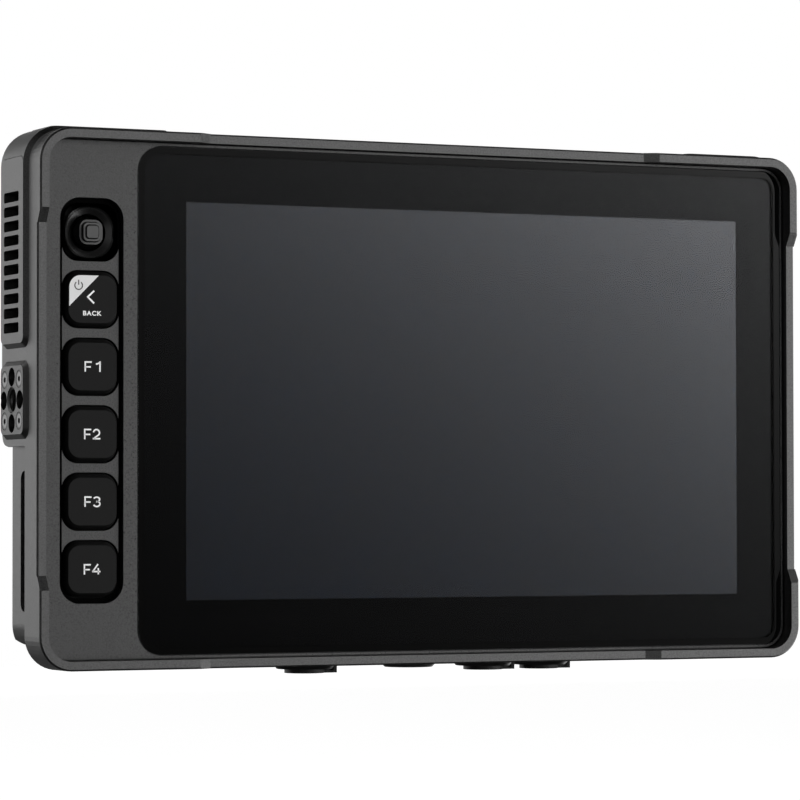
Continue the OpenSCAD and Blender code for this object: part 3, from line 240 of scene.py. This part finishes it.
def paint_shade_outside(mat, shallow, deep):
    """Keeps a grained material between two depths; the rest is painted shade: black metal, without
    a shine.
    """
    tree = mat.node_tree
    shader = tree.nodes["Principled BSDF"]
    place = tree.nodes.new("ShaderNodeTexCoord")
    where = tree.nodes.new("ShaderNodeSeparateXYZ")
    tree.links.new(place.outputs["Object"], where.inputs[0])
    outside = []
    for operation, limit in (("LESS_THAN", shallow), ("GREATER_THAN", deep)):
        test = tree.nodes.new("ShaderNodeMath")
        test.operation = operation
        test.inputs[1].default_value = limit
        tree.links.new(where.outputs["Y"], test.inputs[0])
        outside.append(test)
    either = tree.nodes.new("ShaderNodeMath")
    either.operation = "MAXIMUM"
    for i, test in enumerate(outside):
        tree.links.new(test.outputs[0], either.inputs[i])
    mix = tree.nodes.new("ShaderNodeMix")
    mix.data_type = "RGBA"
    grain = next(n for n in tree.nodes if n.type == "GROUP")
    mix.inputs[MIX_A].default_value = grain.inputs["Colour"].default_value
    # black metal outside the band, without a shine: painted shade
    mix.inputs[MIX_B].default_value = BLACK
    tree.links.new(either.outputs[0], mix.inputs[0])
    tree.links.new(mix.outputs[MIX_RESULT], grain.inputs["Colour"])
    tree.links.new(either.outputs[0], shader.inputs["Metallic"])
    return mat


CHASSIS = grained("Blasted chassis anodise", srgb(121), 0.44, grains=2600.0, depth=0.3,
                  mottle=1.2, Metallic=1.0)
FACE = grained("Blasted face anodise", srgb(109), 0.48, grains=2600.0, depth=0.35, mottle=2.0,
               Metallic=1.0)
# The key frame keeps its grey on the bars' fronts; its walls and deeper parts are painted black as
# shade.
KEY_BAR = paint_shade_behind(
    grained("Blasted key bar anodise with painted shade", srgb(109), 0.48, grains=2600.0, depth=0.35, mottle=1.5,
            Metallic=1.0),
    front("key_frame") + KEY_BAR_DEPTH / 2, -0.5, srgb(10))
MOUNT_GREY = grained("Blasted mount anodise", srgb(119), 0.45, grains=2600.0, depth=0.2,
                     mottle=0.5, Metallic=1.0)
MOUNT_SCREW = grained("Satin mount screw", srgb(138), 0.36, grains=7000.0, depth=0.05,
                      Metallic=1.0)
# The sockets face down and are painted near-black, as dark as their shade makes them look; their
# own colour is not known.
SOCKET_BLACK = grained("Near-black socket", srgb(26), 0.35, depth=0.1, Metallic=0.4)
KEY_BLACK = grained("Satin black key", srgb(11), 0.5, grains=7000.0, depth=0.08, IOR=1.39)
# The cap's step faces stay grey; its risers are painted black as shade, and the black skirt behind
# them takes the same black.
STICK_GREY = paint_shade_behind(
    grained("Satin grey joystick cap with painted shade", srgb(82), 0.45, grains=7000.0, depth=0.08),
    front("joystick_cap") + STICK_TIERS, 0.95, srgb(8))
BOWL_BLACK = paint_shade_outside(grained("Glossy black bowl with painted shade", srgb(8), 0.26, depth=0.04, IOR=1.7),
                          front("joystick_dish") + BOWL_DEPTHS[0],
                          front("joystick_dish") + BOWL_DEPTHS[1])
DISH_BLACK = grained("Satin black moulding", srgb(8), 0.3, depth=0.08)
FAN_BLACK = grained("Black fan moulding", srgb(26), 0.5, depth=0.1)
BOARD_GREEN = material("Green solder mask", Base_Color=srgb((14, 62, 36)), Roughness=0.35)
# The gimbal and stem sit deep in the joystick's hole; their near-black is painted shade.
GIMBAL_BLACK = grained("Near-black joystick steel", srgb(14), 0.6, depth=0.05, Metallic=1.0)
STEEL = grained("Plain sheet steel", srgb(170), 0.35, depth=0.05, Metallic=1.0)
SCREW_BLACK = grained("Black oxide screw", srgb(38), 0.34, depth=0.05, Metallic=0.6)
ALUMINIUM = grained("Extruded aluminium", srgb(190), 0.4, depth=0.08, Metallic=1.0)
BRASS = grained("Brass", srgb((190, 158, 88)), 0.3, depth=0.05, Metallic=1.0)
SEAL_BLACK = material("Black seal rubber", Base_Color=srgb(18), Roughness=0.7)
PRINT_BLACK = material("Black print under the glass", Base_Color=srgb(5), Roughness=0.02,
                       IOR=1.25)
EDGE_PRINT = material("Black print at the glass edge", Base_Color=srgb(5), Roughness=0.02,
                      IOR=1.335)
PRINT_WHITE = material("White key print", Base_Color=srgb(228), Roughness=0.5)
MARK_GREY = material("Grey power mark", Base_Color=srgb(66), Roughness=0.5)
MARK_WHITE = material("Bright white key marks", Base_Color=srgb(247), Roughness=0.5)
BACKLIGHT_WHITE = material("White backlight case", Base_Color=srgb(220), Roughness=0.5)
LCD_DARK = material("Unlit liquid crystal panel", Base_Color=srgb((2, 12, 27)), Roughness=0.06,
                    IOR=1.95)
GLASS = material("Coated cover glass", Base_Color=(0.97, 0.98, 1.0, 1), Roughness=0.0, IOR=1.2,
                 Transmission_Weight=1.0)

FINISHES = {
    CHASSIS: ["chassis_frame", "rear_cover"],
    FACE: ["face_panel"],
    KEY_BAR: ["key_frame"],
    MOUNT_GREY: ["left_mount", "right_mount", "top_mount", "bottom_mount", "fan_grille"],
    SOCKET_BLACK: ["power_socket", "video_in_socket", "video_out_socket"],
    KEY_BLACK: ["back_key", "f1_key", "f2_key", "f3_key", "f4_key"],
    STICK_GREY: ["joystick_cap"],
    BOWL_BLACK: ["joystick_dish"],
    DISH_BLACK: ["joystick_housing", "key_switches"],
    FAN_BLACK: ["fan_frame", "fan_rotor"],
    BOARD_GREEN: ["main_board", "key_board"],
    GIMBAL_BLACK: ["joystick_gimbal", "joystick_stem"],
    STEEL: ["display_tray", "card_socket", "hdmi_in_socket", "hdmi_out_socket"],
    SCREW_BLACK: ["board_screws", "fan_screws", "rear_cover_screws"],
    MOUNT_SCREW: ["mount_screws"],
    ALUMINIUM: ["heat_sink"],
    BRASS: ["rear_inserts", "socket_contacts"],
    SEAL_BLACK: ["rear_seal"],
    PRINT_BLACK: ["glass_adhesive"],
    BACKLIGHT_WHITE: ["backlight"],
    LCD_DARK: ["lcd_panel"],
    GLASS: ["cover_glass"],
}


def finish_frame():
    """Gives every CAD node its finish."""
    for mat, nodes in FINISHES.items():
        for node in nodes:
            mesh = frame["nodes"][node].data
            mesh.materials.clear()
            mesh.materials.append(mat)
    bare = set(frame["nodes"]) - {n for nodes in FINISHES.values() for n in nodes}
    if bare:
        raise SystemExit(f"no finish for {sorted(bare)}")


# ---- Making pieces ----

def piece(name, verts, faces, mat, body):
    """A mesh that rides on a body and takes the finish it is given."""
    mesh = bpy.data.meshes.new(name)
    mesh.from_pydata(verts, [], faces)
    mesh.materials.append(mat)
    obj = bpy.data.objects.new(name, mesh)
    bpy.context.scene.collection.objects.link(obj)
    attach(obj, body)


def arc(centre, radius, start, end, steps):
    """Points of an arc in the print's plane, angles in degrees."""
    points = []
    for i in range(steps + 1):
        a = math.radians(start + (end - start) * i / steps)
        points.append((centre[0] + radius * math.cos(a), centre[1] + radius * math.sin(a)))
    return points


MITRE_LEAST = 0.3                # keeps a sharp corner's mitre short


def ribbon(line, width):
    """A flat ribbon of constant width along a line of 2-D points, as (points, faces)."""
    points = []
    last = len(line) - 1
    for i, p in enumerate(line):
        before = Vector(line[max(i - 1, 0)])
        after = Vector(line[min(i + 1, last)])
        here = Vector(p)
        a = (here - before).normalized() if (here - before).length else None
        b = (after - here).normalized() if (after - here).length else None
        a = a or b
        b = b or a
        side = Vector((-(a + b).y, (a + b).x)).normalized()
        reach = width / 2 / max(MITRE_LEAST, side.dot(Vector((-a.y, a.x))))
        points += [here + side * reach, here - side * reach]
    faces = [(2 * i, 2 * i + 1, 2 * i + 3, 2 * i + 2) for i in range(last)]
    return points, faces


# ---- Key print ----

KEY_FACE_W = 11.95 * MM          # the flat face of a key
KEY_FACE_H = 11.1 * MM
KEY_FACE_R = 3.0 * MM
PRINT_LIFT = 0.02 * MM           # how far the print stands off a key's face


def key_corner(node):
    """The top left corner of a key's flat face."""
    mid = middle(node)
    return Vector((mid.x - KEY_FACE_W / 2, front(node), mid.z + KEY_FACE_H / 2))


def print_on_key(name, node, points, faces, mat, slot, lift=PRINT_LIFT):
    """Flat print on a key's face; 2-D points are right and up from the face's top left corner."""
    corner = key_corner(node)
    verts = [(corner.x + p[0], corner.y - lift, corner.z + p[1]) for p in points]
    piece(name, verts, faces, mat, node + "_body")


LETTER_CURVE_STEPS = 6


def letters(name, node, text, size, centre, weight, spacing):
    """Letters of a given width and height on a key's face, centred at a point of that face."""
    curve = bpy.data.curves.new(name, "FONT")
    curve.body = text
    curve.offset = weight
    curve.space_character = spacing
    curve.resolution_u = LETTER_CURVE_STEPS
    carrier = bpy.data.objects.new(name + "_curve", curve)
    bpy.context.scene.collection.objects.link(carrier)
    bpy.context.view_layer.update()
    drawn = bpy.data.meshes.new_from_object(carrier)
    bpy.data.objects.remove(carrier)
    xs = [v.co.x for v in drawn.vertices]
    ys = [v.co.y for v in drawn.vertices]
    across, up = size[0] / (max(xs) - min(xs)), size[1] / (max(ys) - min(ys))
    mid_x, mid_y = (max(xs) + min(xs)) / 2, (max(ys) + min(ys)) / 2
    points = [(centre[0] + (v.co.x - mid_x) * across, centre[1] + (v.co.y - mid_y) * up)
              for v in drawn.vertices]
    faces = [tuple(f.vertices) for f in drawn.polygons]
    bpy.data.meshes.remove(drawn)
    print_on_key(name, node, points, faces, MARK_WHITE, "white_plastic")


# Strokes of the function keys' marks, in heights of a mark from its lower left corner.
F_STROKES = [[(0, 0), (0, 1), (0.71, 1)], [(0, 0.5), (0.61, 0.5)]]
F_ADVANCE = 0.91                 # from the F's left side to the digit's
DIGIT_STROKES = {
    1: [[(0.26, 0.8), (0.48, 0.84), (0.68, 0.98)], [(0.71, 1.08), (0.71, 0)]],
    2: [arc((0.37, 0.67), 0.33, 172, -38, 14) + [(0.08, 0.09)], [(-0.04, 0.07), (0.8, 0.07)]],
    3: [[(1.36 * x, y) for x, y in arc((0.27, 0.765), 0.235, 160, -85, 12)
         + arc((0.27, 0.3), 0.26, 85, -160, 14)]],
    4: [[(0.58, 1.06), (0.02, 0.32)], [(-0.06, 0.3), (0.85, 0.3)], [(0.61, 0.66), (0.61, 0)]],
}
MARK_HEIGHT = 2.27 * MM          # between the middles of the top and bottom strokes
MARK_STROKE = 0.37 * MM
MARK_DROP = 0.08 * MM            # how far the marks sit below the middle of a key


def print_function_keys():
    """F1 to F4, drawn in strokes of one width in the middle of each key."""
    for number, digit in DIGIT_STROKES.items():
        node = f"f{number}_key"
        wide = F_ADVANCE + max(p[0] for line in digit for p in line)
        start = (KEY_FACE_W / 2 - wide * MARK_HEIGHT / 2,
                 -KEY_FACE_H / 2 - MARK_HEIGHT / 2 - MARK_DROP)
        points, faces = [], []
        for shift, strokes in ((0.0, F_STROKES), (F_ADVANCE, digit)):
            for line in strokes:
                placed = [(start[0] + (x + shift) * MARK_HEIGHT, start[1] + y * MARK_HEIGHT)
                          for x, y in line]
                drawn, quads = ribbon(placed, MARK_STROKE)
                faces += [tuple(len(points) + i for i in quad) for quad in quads]
                points += drawn
        print_on_key(f"print_f{number}", node, points, faces, MARK_WHITE, "white_plastic")


# The back key's print, measured right and down from the top left corner of its face.
CORNER_INSET = 0.15 * MM         # the white corner and the key's edge
CORNER_ACROSS, CORNER_DOWN = 7.5 * MM, 7.25 * MM
POWER_CENTRE = (2.47 * MM, -2.4 * MM)
POWER_RADIUS = 0.95 * MM
POWER_GAP = (130, 410)           # the ring starts and ends here, in degrees
POWER_BAR = (1.3 * MM, 0.15 * MM)        # its ends above the middle of the ring
POWER_STROKE = 0.26 * MM
ARROW_TIP = (4.75 * MM, -5.05 * MM)
ARROW_REACH, ARROW_RISE = 1.58 * MM, 1.47 * MM
ARROW_STROKE = 0.42 * MM
BACK_SIZE = (4.65 * MM, 1.12 * MM)
BACK_CENTRE = (5.9 * MM, -8.85 * MM)
BACK_WEIGHT = 0.03
BACK_SPACING = 1.15


def print_back_key():
    """The power mark in a white corner, an arrowhead and the word below."""
    node = "back_key"
    r = KEY_FACE_R - CORNER_INSET
    corner = ([(CORNER_ACROSS, 0.0)] + arc((CORNER_INSET + r, -r), r, 90, 180, 10)
              + [(CORNER_INSET, -CORNER_DOWN)])
    print_on_key("print_power_corner", node, corner, [tuple(range(len(corner)))], PRINT_WHITE,
                 "white_plastic")
    x, y = POWER_CENTRE
    ring = ribbon(arc(POWER_CENTRE, POWER_RADIUS, *POWER_GAP, 28), POWER_STROKE)
    print_on_key("print_power_ring", node, *ring, MARK_GREY, "key", 2 * PRINT_LIFT)
    bar = ribbon([(x, y + end) for end in POWER_BAR], POWER_STROKE)
    print_on_key("print_power_bar", node, *bar, MARK_GREY, "key", 2 * PRINT_LIFT)
    x, y = ARROW_TIP
    arrow = ribbon([(x + ARROW_REACH, y + ARROW_RISE), ARROW_TIP,
                    (x + ARROW_REACH, y - ARROW_RISE)], ARROW_STROKE)
    print_on_key("print_back_arrow", node, *arrow, MARK_WHITE, "white_plastic")
    letters("print_back_word", node, "BACK", BACK_SIZE, BACK_CENTRE, BACK_WEIGHT, BACK_SPACING)


# ---- Glass ----

GLASS_RADII = (6.0 * MM, 4.9 * MM)       # beside the keys, and at the far side
EDGE_PRINT_W = 1.6 * MM
CORNER_STEPS = 16


def glass_edge_print():
    """The black print along the edge of the glass, which runs right out to it."""
    low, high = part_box("cover_glass")
    y = low.y - PRINT_LIFT / 2       # just in front of the glass
    corners = [(high.x, high.z, 0, 1), (low.x, high.z, 90, 0), (low.x, low.z, 180, 0),
               (high.x, low.z, 270, 1)]
    outer, inner = [], []
    for x, z, start, side in corners:
        r = GLASS_RADII[side]
        centre = (x + (r if x == low.x else -r), z + (r if z == low.z else -r))
        outer += arc(centre, r, start, start + 90, CORNER_STEPS)
        inner += arc(centre, r - EDGE_PRINT_W, start, start + 90, CORNER_STEPS)
    n = len(outer)
    verts = [(x, y, z) for x, z in outer + inner]
    faces = [(i, n + i, n + (i + 1) % n, (i + 1) % n) for i in range(n)]
    piece("glass_edge_print", verts, faces, EDGE_PRINT, "monitor")


# ---- Threads ----

TRIPOD_PITCH = 25.4 / 20 * MM
INSERT_PITCH = 0.7 * MM
THREAD_STEPS = 28                # to a turn
THREAD_ENDS = 0.4                # bare length at each end, in pitches
THREAD_FADE = 0.4                # how long the ridge takes to rise, in turns
THREAD_DEPTH = 0.3               # the rest of these in pitches too
THREAD_ROOT = 0.42               # half the ridge's width at the bore
THREAD_CREST = 0.06              # and at its top


def thread(name, mouth, out, bore_r, pitch, length, mat, body):
    """The ridge of an inside thread: a helix with a flat-topped section, from the mouth inwards."""
    turns = length / pitch - 2 * THREAD_ENDS
    turn = Vector((0, 0, 1)).rotation_difference(-Vector(out)).to_matrix()
    verts, faces = [], []
    total = int(turns * THREAD_STEPS)
    fade_steps = THREAD_STEPS * THREAD_FADE
    for i in range(total + 1):
        a = 2 * math.pi * i / THREAD_STEPS
        fade = min(1.0, i / fade_steps, (total - i) / fade_steps)
        along = pitch * (THREAD_ENDS + i / THREAD_STEPS)
        rise = THREAD_DEPTH * pitch * fade
        section = [(bore_r, -THREAD_ROOT * pitch), (bore_r - rise, -THREAD_CREST * pitch),
                   (bore_r - rise, THREAD_CREST * pitch), (bore_r, THREAD_ROOT * pitch)]
        for r, z in section:
            p = turn @ Vector((r * math.cos(a), r * math.sin(a), along + z))
            verts.append(Vector(mouth) + p)
    for i in range(total):
        for k in range(3):
            a = 4 * i + k
            faces.append((a, a + 1, a + 5, a + 4))
    piece(name, verts, faces, mat, body)


def cut_threads():
    """Threads in the four tripod mounts and the four rear inserts, from the record's mounts."""
    mounts = {m["name"]: m for m in frame["record"]["mounts"]}
    for side in ("bottom", "top", "left", "right"):
        mount = mounts[side + "_thread"]
        dims = mount["dims"]
        thread(f"{side}_mount_thread", mount["pos_m"], mount["axis"], dims["r_mm"] * MM,
               TRIPOD_PITCH, dims["length_mm"] * MM, MOUNT_GREY, "monitor")
    rear = mounts["rear_pattern"]
    dims = rear["dims"]
    low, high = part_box("rear_inserts")
    for right in (-1, 1):
        for up in (-1, 1):
            mouth = Vector(rear["pos_m"]) + Vector((right * dims["spacing_x_mm"], 0,
                                                    up * dims["spacing_y_mm"])) * MM / 2
            place = ("left", "right")[right > 0] + ("_low", "_high")[up > 0]
            thread(f"insert_thread_{place}", mouth, rear["axis"], dims["hole_r_mm"] * MM,
                   INSERT_PITCH, high.y - low.y, BRASS, "monitor")


# ---- Screws of the mounts, with painted shade round them ----

MOUNT_SCREW_AT = 4.9 * MM        # from the middle of a mount, both ways
SCREW_SHADE_RING = (1.62 * MM, 1.97 * MM)      # inner and outer radius of the painted shade ring
SCREW_SHADE_RING_STEPS = 32


def mount_screw_shade_rings():
    """Painted shade: a flat dark ring on the pad round each screw of the left, right and top
    mounts, where the gap round the screw head lies in shade.
    """
    low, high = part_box("mount_screws")
    steps = SCREW_SHADE_RING_STEPS
    for side, away in (("left", (-1, 0, 0)), ("right", (1, 0, 0)), ("top", (0, 0, 1))):
        away = Vector(away)
        centre = middle(side + "_mount")
        outer = high if side != "left" else low
        axis = 0 if away.x else 2
        centre[axis] = outer[axis] + away[axis] * PRINT_LIFT
        across = Vector((0, 1, 0))
        up = away.cross(across)
        verts, faces = [], []
        for a in (-1, 1):
            for b in (-1, 1):
                at = centre + (across * a + up * b) * MOUNT_SCREW_AT
                first = len(verts)
                for i in range(steps):
                    t = 2 * math.pi * i / steps
                    way = across * math.cos(t) + up * math.sin(t)
                    verts += [at + way * SCREW_SHADE_RING[0], at + way * SCREW_SHADE_RING[1]]
                for i in range(steps):
                    j = (i + 1) % steps
                    faces.append(tuple(first + k for k in
                                       (2 * i, 2 * i + 1, 2 * j + 1, 2 * j)))
        # the rings take the black moulding finish as painted shade
        piece(f"{side}_mount_screw_shade_rings", verts, faces, DISH_BLACK, "monitor")


# ---- Studio ----

CAMERA_AT = Vector((-416.10, -863.88, 37.71)) * MM
CAMERA_YAW = math.radians(25.6025)
CAMERA_PITCH = math.radians(1.6364)
CAMERA_ROLL = math.radians(-0.0757)
LENS = 175.35
SENSOR = 36.0
CAMERA_CLIP = (0.05, 50)


def add_camera():
    """The photograph's camera: left of the screen, a little below its middle, looking up."""
    forward = Vector((math.sin(CAMERA_YAW) * math.cos(CAMERA_PITCH),
                      math.cos(CAMERA_YAW) * math.cos(CAMERA_PITCH), math.sin(CAMERA_PITCH)))
    level = Vector((math.cos(CAMERA_YAW), -math.sin(CAMERA_YAW), 0))
    upright = level.cross(forward)
    right = level * math.cos(CAMERA_ROLL) + upright * math.sin(CAMERA_ROLL)
    up = upright * math.cos(CAMERA_ROLL) - level * math.sin(CAMERA_ROLL)
    data = bpy.data.cameras.new("Camera")
    data.lens = LENS
    data.sensor_width = SENSOR
    data.clip_start, data.clip_end = CAMERA_CLIP
    camera = bpy.data.objects.new("Camera", data)
    bpy.context.scene.collection.objects.link(camera)
    pose = Matrix((right, up, -forward)).transposed().to_4x4()
    pose.translation = CAMERA_AT
    camera.matrix_world = pose
    bpy.context.scene.camera = camera


def softbox(name, at, target, size, power):
    """A rectangular lamp that points at a target and stays out of reflections."""
    data = bpy.data.lights.new(name, "AREA")
    data.shape = "RECTANGLE"
    data.size, data.size_y = size
    data.energy = power
    lamp = bpy.data.objects.new(name, data)
    bpy.context.scene.collection.objects.link(lamp)
    lamp.location = at
    aim = Vector(target) - Vector(at)
    lamp.rotation_euler = aim.to_track_quat("-Z", "Y").to_euler()
    lamp.visible_glossy = False


def seen_white(tree, lit, white):
    """Mixes a lit shader with plain white for what the camera, metal and glass see."""
    path = tree.nodes.new("ShaderNodeLightPath")
    either = path.outputs["Is Camera Ray"]
    for other in ("Is Glossy Ray", "Is Transmission Ray"):
        add = tree.nodes.new("ShaderNodeMath")
        add.operation = "MAXIMUM"
        tree.links.new(either, add.inputs[0])
        tree.links.new(path.outputs[other], add.inputs[1])
        either = add.outputs[0]
    mix = tree.nodes.new("ShaderNodeMixShader")
    tree.links.new(either, mix.inputs[0])
    tree.links.new(lit, mix.inputs[1])
    tree.links.new(white, mix.inputs[2])
    return mix.outputs[0]


AMBIENT = 0.1


def add_world():
    """White where the camera or a reflection sees it, and a weak light all round."""
    world = bpy.data.worlds.new("Studio")
    bpy.context.scene.world = world
    world.use_nodes = True
    tree = world.node_tree
    tree.nodes.clear()
    soft = tree.nodes.new("ShaderNodeBackground")
    soft.inputs["Color"].default_value = WHITE
    soft.inputs["Strength"].default_value = AMBIENT
    white = tree.nodes.new("ShaderNodeBackground")
    white.inputs["Color"].default_value = WHITE
    out = tree.nodes.new("ShaderNodeOutputWorld")
    tree.links.new(seen_white(tree, soft.outputs[0], white.outputs[0]), out.inputs["Surface"])


FLOOR_DROP = 0.25                # the floor is well below, as the monitor hangs on its mount
FLOOR_SIZE = 12.0
FLOOR_GREY = 188
FLOOR_GLOW = 0.93                # seen by the camera and in reflections; shadows still show


def stage_plane(name, pose, size, mat):
    """A flat panel of the studio, which isn't part of the monitor."""
    w, h = size[0] / 2, size[1] / 2
    mesh = bpy.data.meshes.new(name)
    mesh.from_pydata([(-w, -h, 0), (w, -h, 0), (w, h, 0), (-w, h, 0)], [], [(0, 1, 2, 3)])
    mesh.materials.append(mat)
    obj = bpy.data.objects.new(name, mesh)
    bpy.context.scene.collection.objects.link(obj)
    obj.matrix_world = pose
    return obj


def add_floor():
    """A pale floor that keeps the shadow and looks white."""
    mat = material("Pale floor", Base_Color=srgb(FLOOR_GREY), Roughness=0.9)
    tree = mat.node_tree
    plain = tree.nodes["Principled BSDF"].outputs[0]
    glow = tree.nodes.new("ShaderNodeEmission")
    glow.inputs["Strength"].default_value = FLOOR_GLOW
    both = tree.nodes.new("ShaderNodeAddShader")
    tree.links.new(plain, both.inputs[0])
    tree.links.new(glow.outputs[0], both.inputs[1])
    tree.links.new(seen_white(tree, plain, both.outputs[0]),
                   tree.nodes["Material Output"].inputs["Surface"])
    stage_plane("floor", Matrix.Translation((0, 0, cad_box[0][2] - FLOOR_DROP)),
                (FLOOR_SIZE, FLOOR_SIZE), mat)


def glowing(name, strength):
    """A plain white glow of a given strength."""
    mat = bpy.data.materials.new(name)
    mat.use_nodes = True
    tree = mat.node_tree
    tree.nodes.clear()
    glow = tree.nodes.new("ShaderNodeEmission")
    glow.inputs["Strength"].default_value = strength
    out = tree.nodes.new("ShaderNodeOutputMaterial")
    tree.links.new(glow.outputs[0], out.inputs["Surface"])
    return mat


def hidden_card(card):
    """A card that only reflections show."""
    card.visible_camera = False
    card.visible_diffuse = False
    card.visible_shadow = False


CARD_DISTANCE = 1.5
CARD_SIZE = (0.6, 0.46)
CARD_MIDDLE = 0.35               # its brightness behind the middle of the screen
CARD_RATIO = 11.0                # bright corner of the screen over the dark one
CARD_SLOPE = (1.45, 2.08, 0)     # how fast it changes, per metre across and up
CARD_MOST = 0.6                  # where the change stops, either way
SURROUND_SIZE = (2.1, 1.1)       # a plain card behind it, mostly for the rough metal
SURROUND_GLOW = 1.05
SURROUND_GAP = 0.05


def add_gradient_card():
    """The graded card that the glass reflects: dark low on the left, bright high on the right."""
    screen = middle("lcd_panel")
    look = (screen - CAMERA_AT).normalized()
    away = Vector((look.x, -look.y, look.z))
    mat = bpy.data.materials.new("Graded reflection card")
    mat.use_nodes = True
    tree = mat.node_tree
    tree.nodes.clear()
    place = tree.nodes.new("ShaderNodeTexCoord")
    along = tree.nodes.new("ShaderNodeVectorMath")
    along.operation = "DOT_PRODUCT"
    along.inputs[1].default_value = CARD_SLOPE
    tree.links.new(place.outputs["Object"], along.inputs[0])
    kept = tree.nodes.new("ShaderNodeClamp")
    kept.inputs["Min"].default_value = -CARD_MOST
    kept.inputs["Max"].default_value = CARD_MOST
    tree.links.new(along.outputs["Value"], kept.inputs["Value"])
    rise = tree.nodes.new("ShaderNodeMath")
    rise.operation = "POWER"
    rise.inputs[0].default_value = CARD_RATIO
    tree.links.new(kept.outputs[0], rise.inputs[1])
    level_mid = tree.nodes.new("ShaderNodeMath")
    level_mid.operation = "MULTIPLY"
    level_mid.inputs[1].default_value = CARD_MIDDLE
    tree.links.new(rise.outputs[0], level_mid.inputs[0])
    glow = tree.nodes.new("ShaderNodeEmission")
    tree.links.new(level_mid.outputs[0], glow.inputs["Strength"])
    out = tree.nodes.new("ShaderNodeOutputMaterial")
    tree.links.new(glow.outputs[0], out.inputs["Surface"])
    level = Vector((-away.y, away.x, 0)).normalized()
    pose = Matrix((level, level.cross(-away), away)).transposed().to_4x4()
    pose.translation = screen + away * CARD_DISTANCE
    hidden_card(stage_plane("reflection_card", pose, CARD_SIZE, mat))
    pose.translation += away * SURROUND_GAP
    hidden_card(stage_plane("surround_card", pose, SURROUND_SIZE,
                            glowing("Plain reflection card", SURROUND_GLOW)))


FLAG_AHEAD = -1.7                # where the card in front stands, in metres before the monitor
FLAG_LOW_GAP = 0.02              # the low flags are this far above the floor
FLAG_TOP = 3.0

# Each flag: its glow, and its lowest and highest corner, where None is just above the floor.
FLAGS = {
    "front_card": (0.32, (-1.9, FLAG_AHEAD, None), (2.0, FLAG_AHEAD, 0.8)),
    "front_flag": (0.05, (-2.6, FLAG_AHEAD - 0.1, None), (2.0, FLAG_AHEAD - 0.1, FLAG_TOP)),
    "left_flag": (0.09, (-2.6, FLAG_AHEAD, None), (-2.6, 1.1, FLAG_TOP)),
    "right_flag": (0.0, (2.1, -0.5, None), (2.1, 0.6, FLAG_TOP)),
    "low_flag": (0.02, (-3.0, FLAG_AHEAD, None), (0.45, 0.6, None)),
    "mid_low_flag": (0.3, (-3.0, 0.6, None), (3.0, 1.15, None)),
    "far_low_flag": (0.03, (-1.0, 1.15, None), (4.0, 5.0, None)),
    "top_flag": (0.0, (-1.5, -1.0, 1.7), (1.8, 0.9, 1.7)),
    "high_back_flag": (0.02, (-2.2, 2.6, 1.05), (2.6, 2.6, FLAG_TOP)),
}


def add_flags():
    """Dim cards that only reflections show, which keep the metal's slopes dark."""
    floor = cad_box[0][2] - FLOOR_DROP + FLAG_LOW_GAP
    for name, (glow, low, high) in FLAGS.items():
        low, high = (Vector([floor if c is None else c for c in corner])
                     for corner in (low, high))
        span = high - low
        flat = min(range(3), key=lambda i: span[i])
        turn = (Matrix.Rotation(math.pi / 2, 4, "Z") @ Matrix.Rotation(math.pi / 2, 4, "X"),
                Matrix.Rotation(math.pi / 2, 4, "X"), Matrix.Identity(4))[flat]
        size = (span.y, span.z) if flat == 0 else (span.x, span.z) if flat == 1 else (
            span.x, span.y)
        pose = Matrix.Translation((low + high) / 2) @ turn
        hidden_card(stage_plane(name, pose, size, glowing(name + "_dark", glow)))


# Each lamp: its place, its size and its power in watts.
LAMPS = {
    "front_light": ((1.6, -1.35, 0.7), (1.2, 1.0), 47),
    "top_light": ((0.1, 0.3, 1.7), (1.4, 1.2), 20),
    "back_light": ((0.9, 1.7, 0.7), (1.4, 1.2), 26),
}


def add_lamps():
    """Soft lamps from the front right, above and behind."""
    for name, (at, size, power) in LAMPS.items():
        softbox(name, at, middle("lcd_panel"), size, power)


finish_frame()
print_function_keys()
print_back_key()
glass_edge_print()
cut_threads()
mount_screw_shade_rings()
add_camera()
add_world()
add_floor()
add_gradient_card()
add_flags()
add_lamps()
bpy.context.scene.view_settings.view_transform = "Standard"
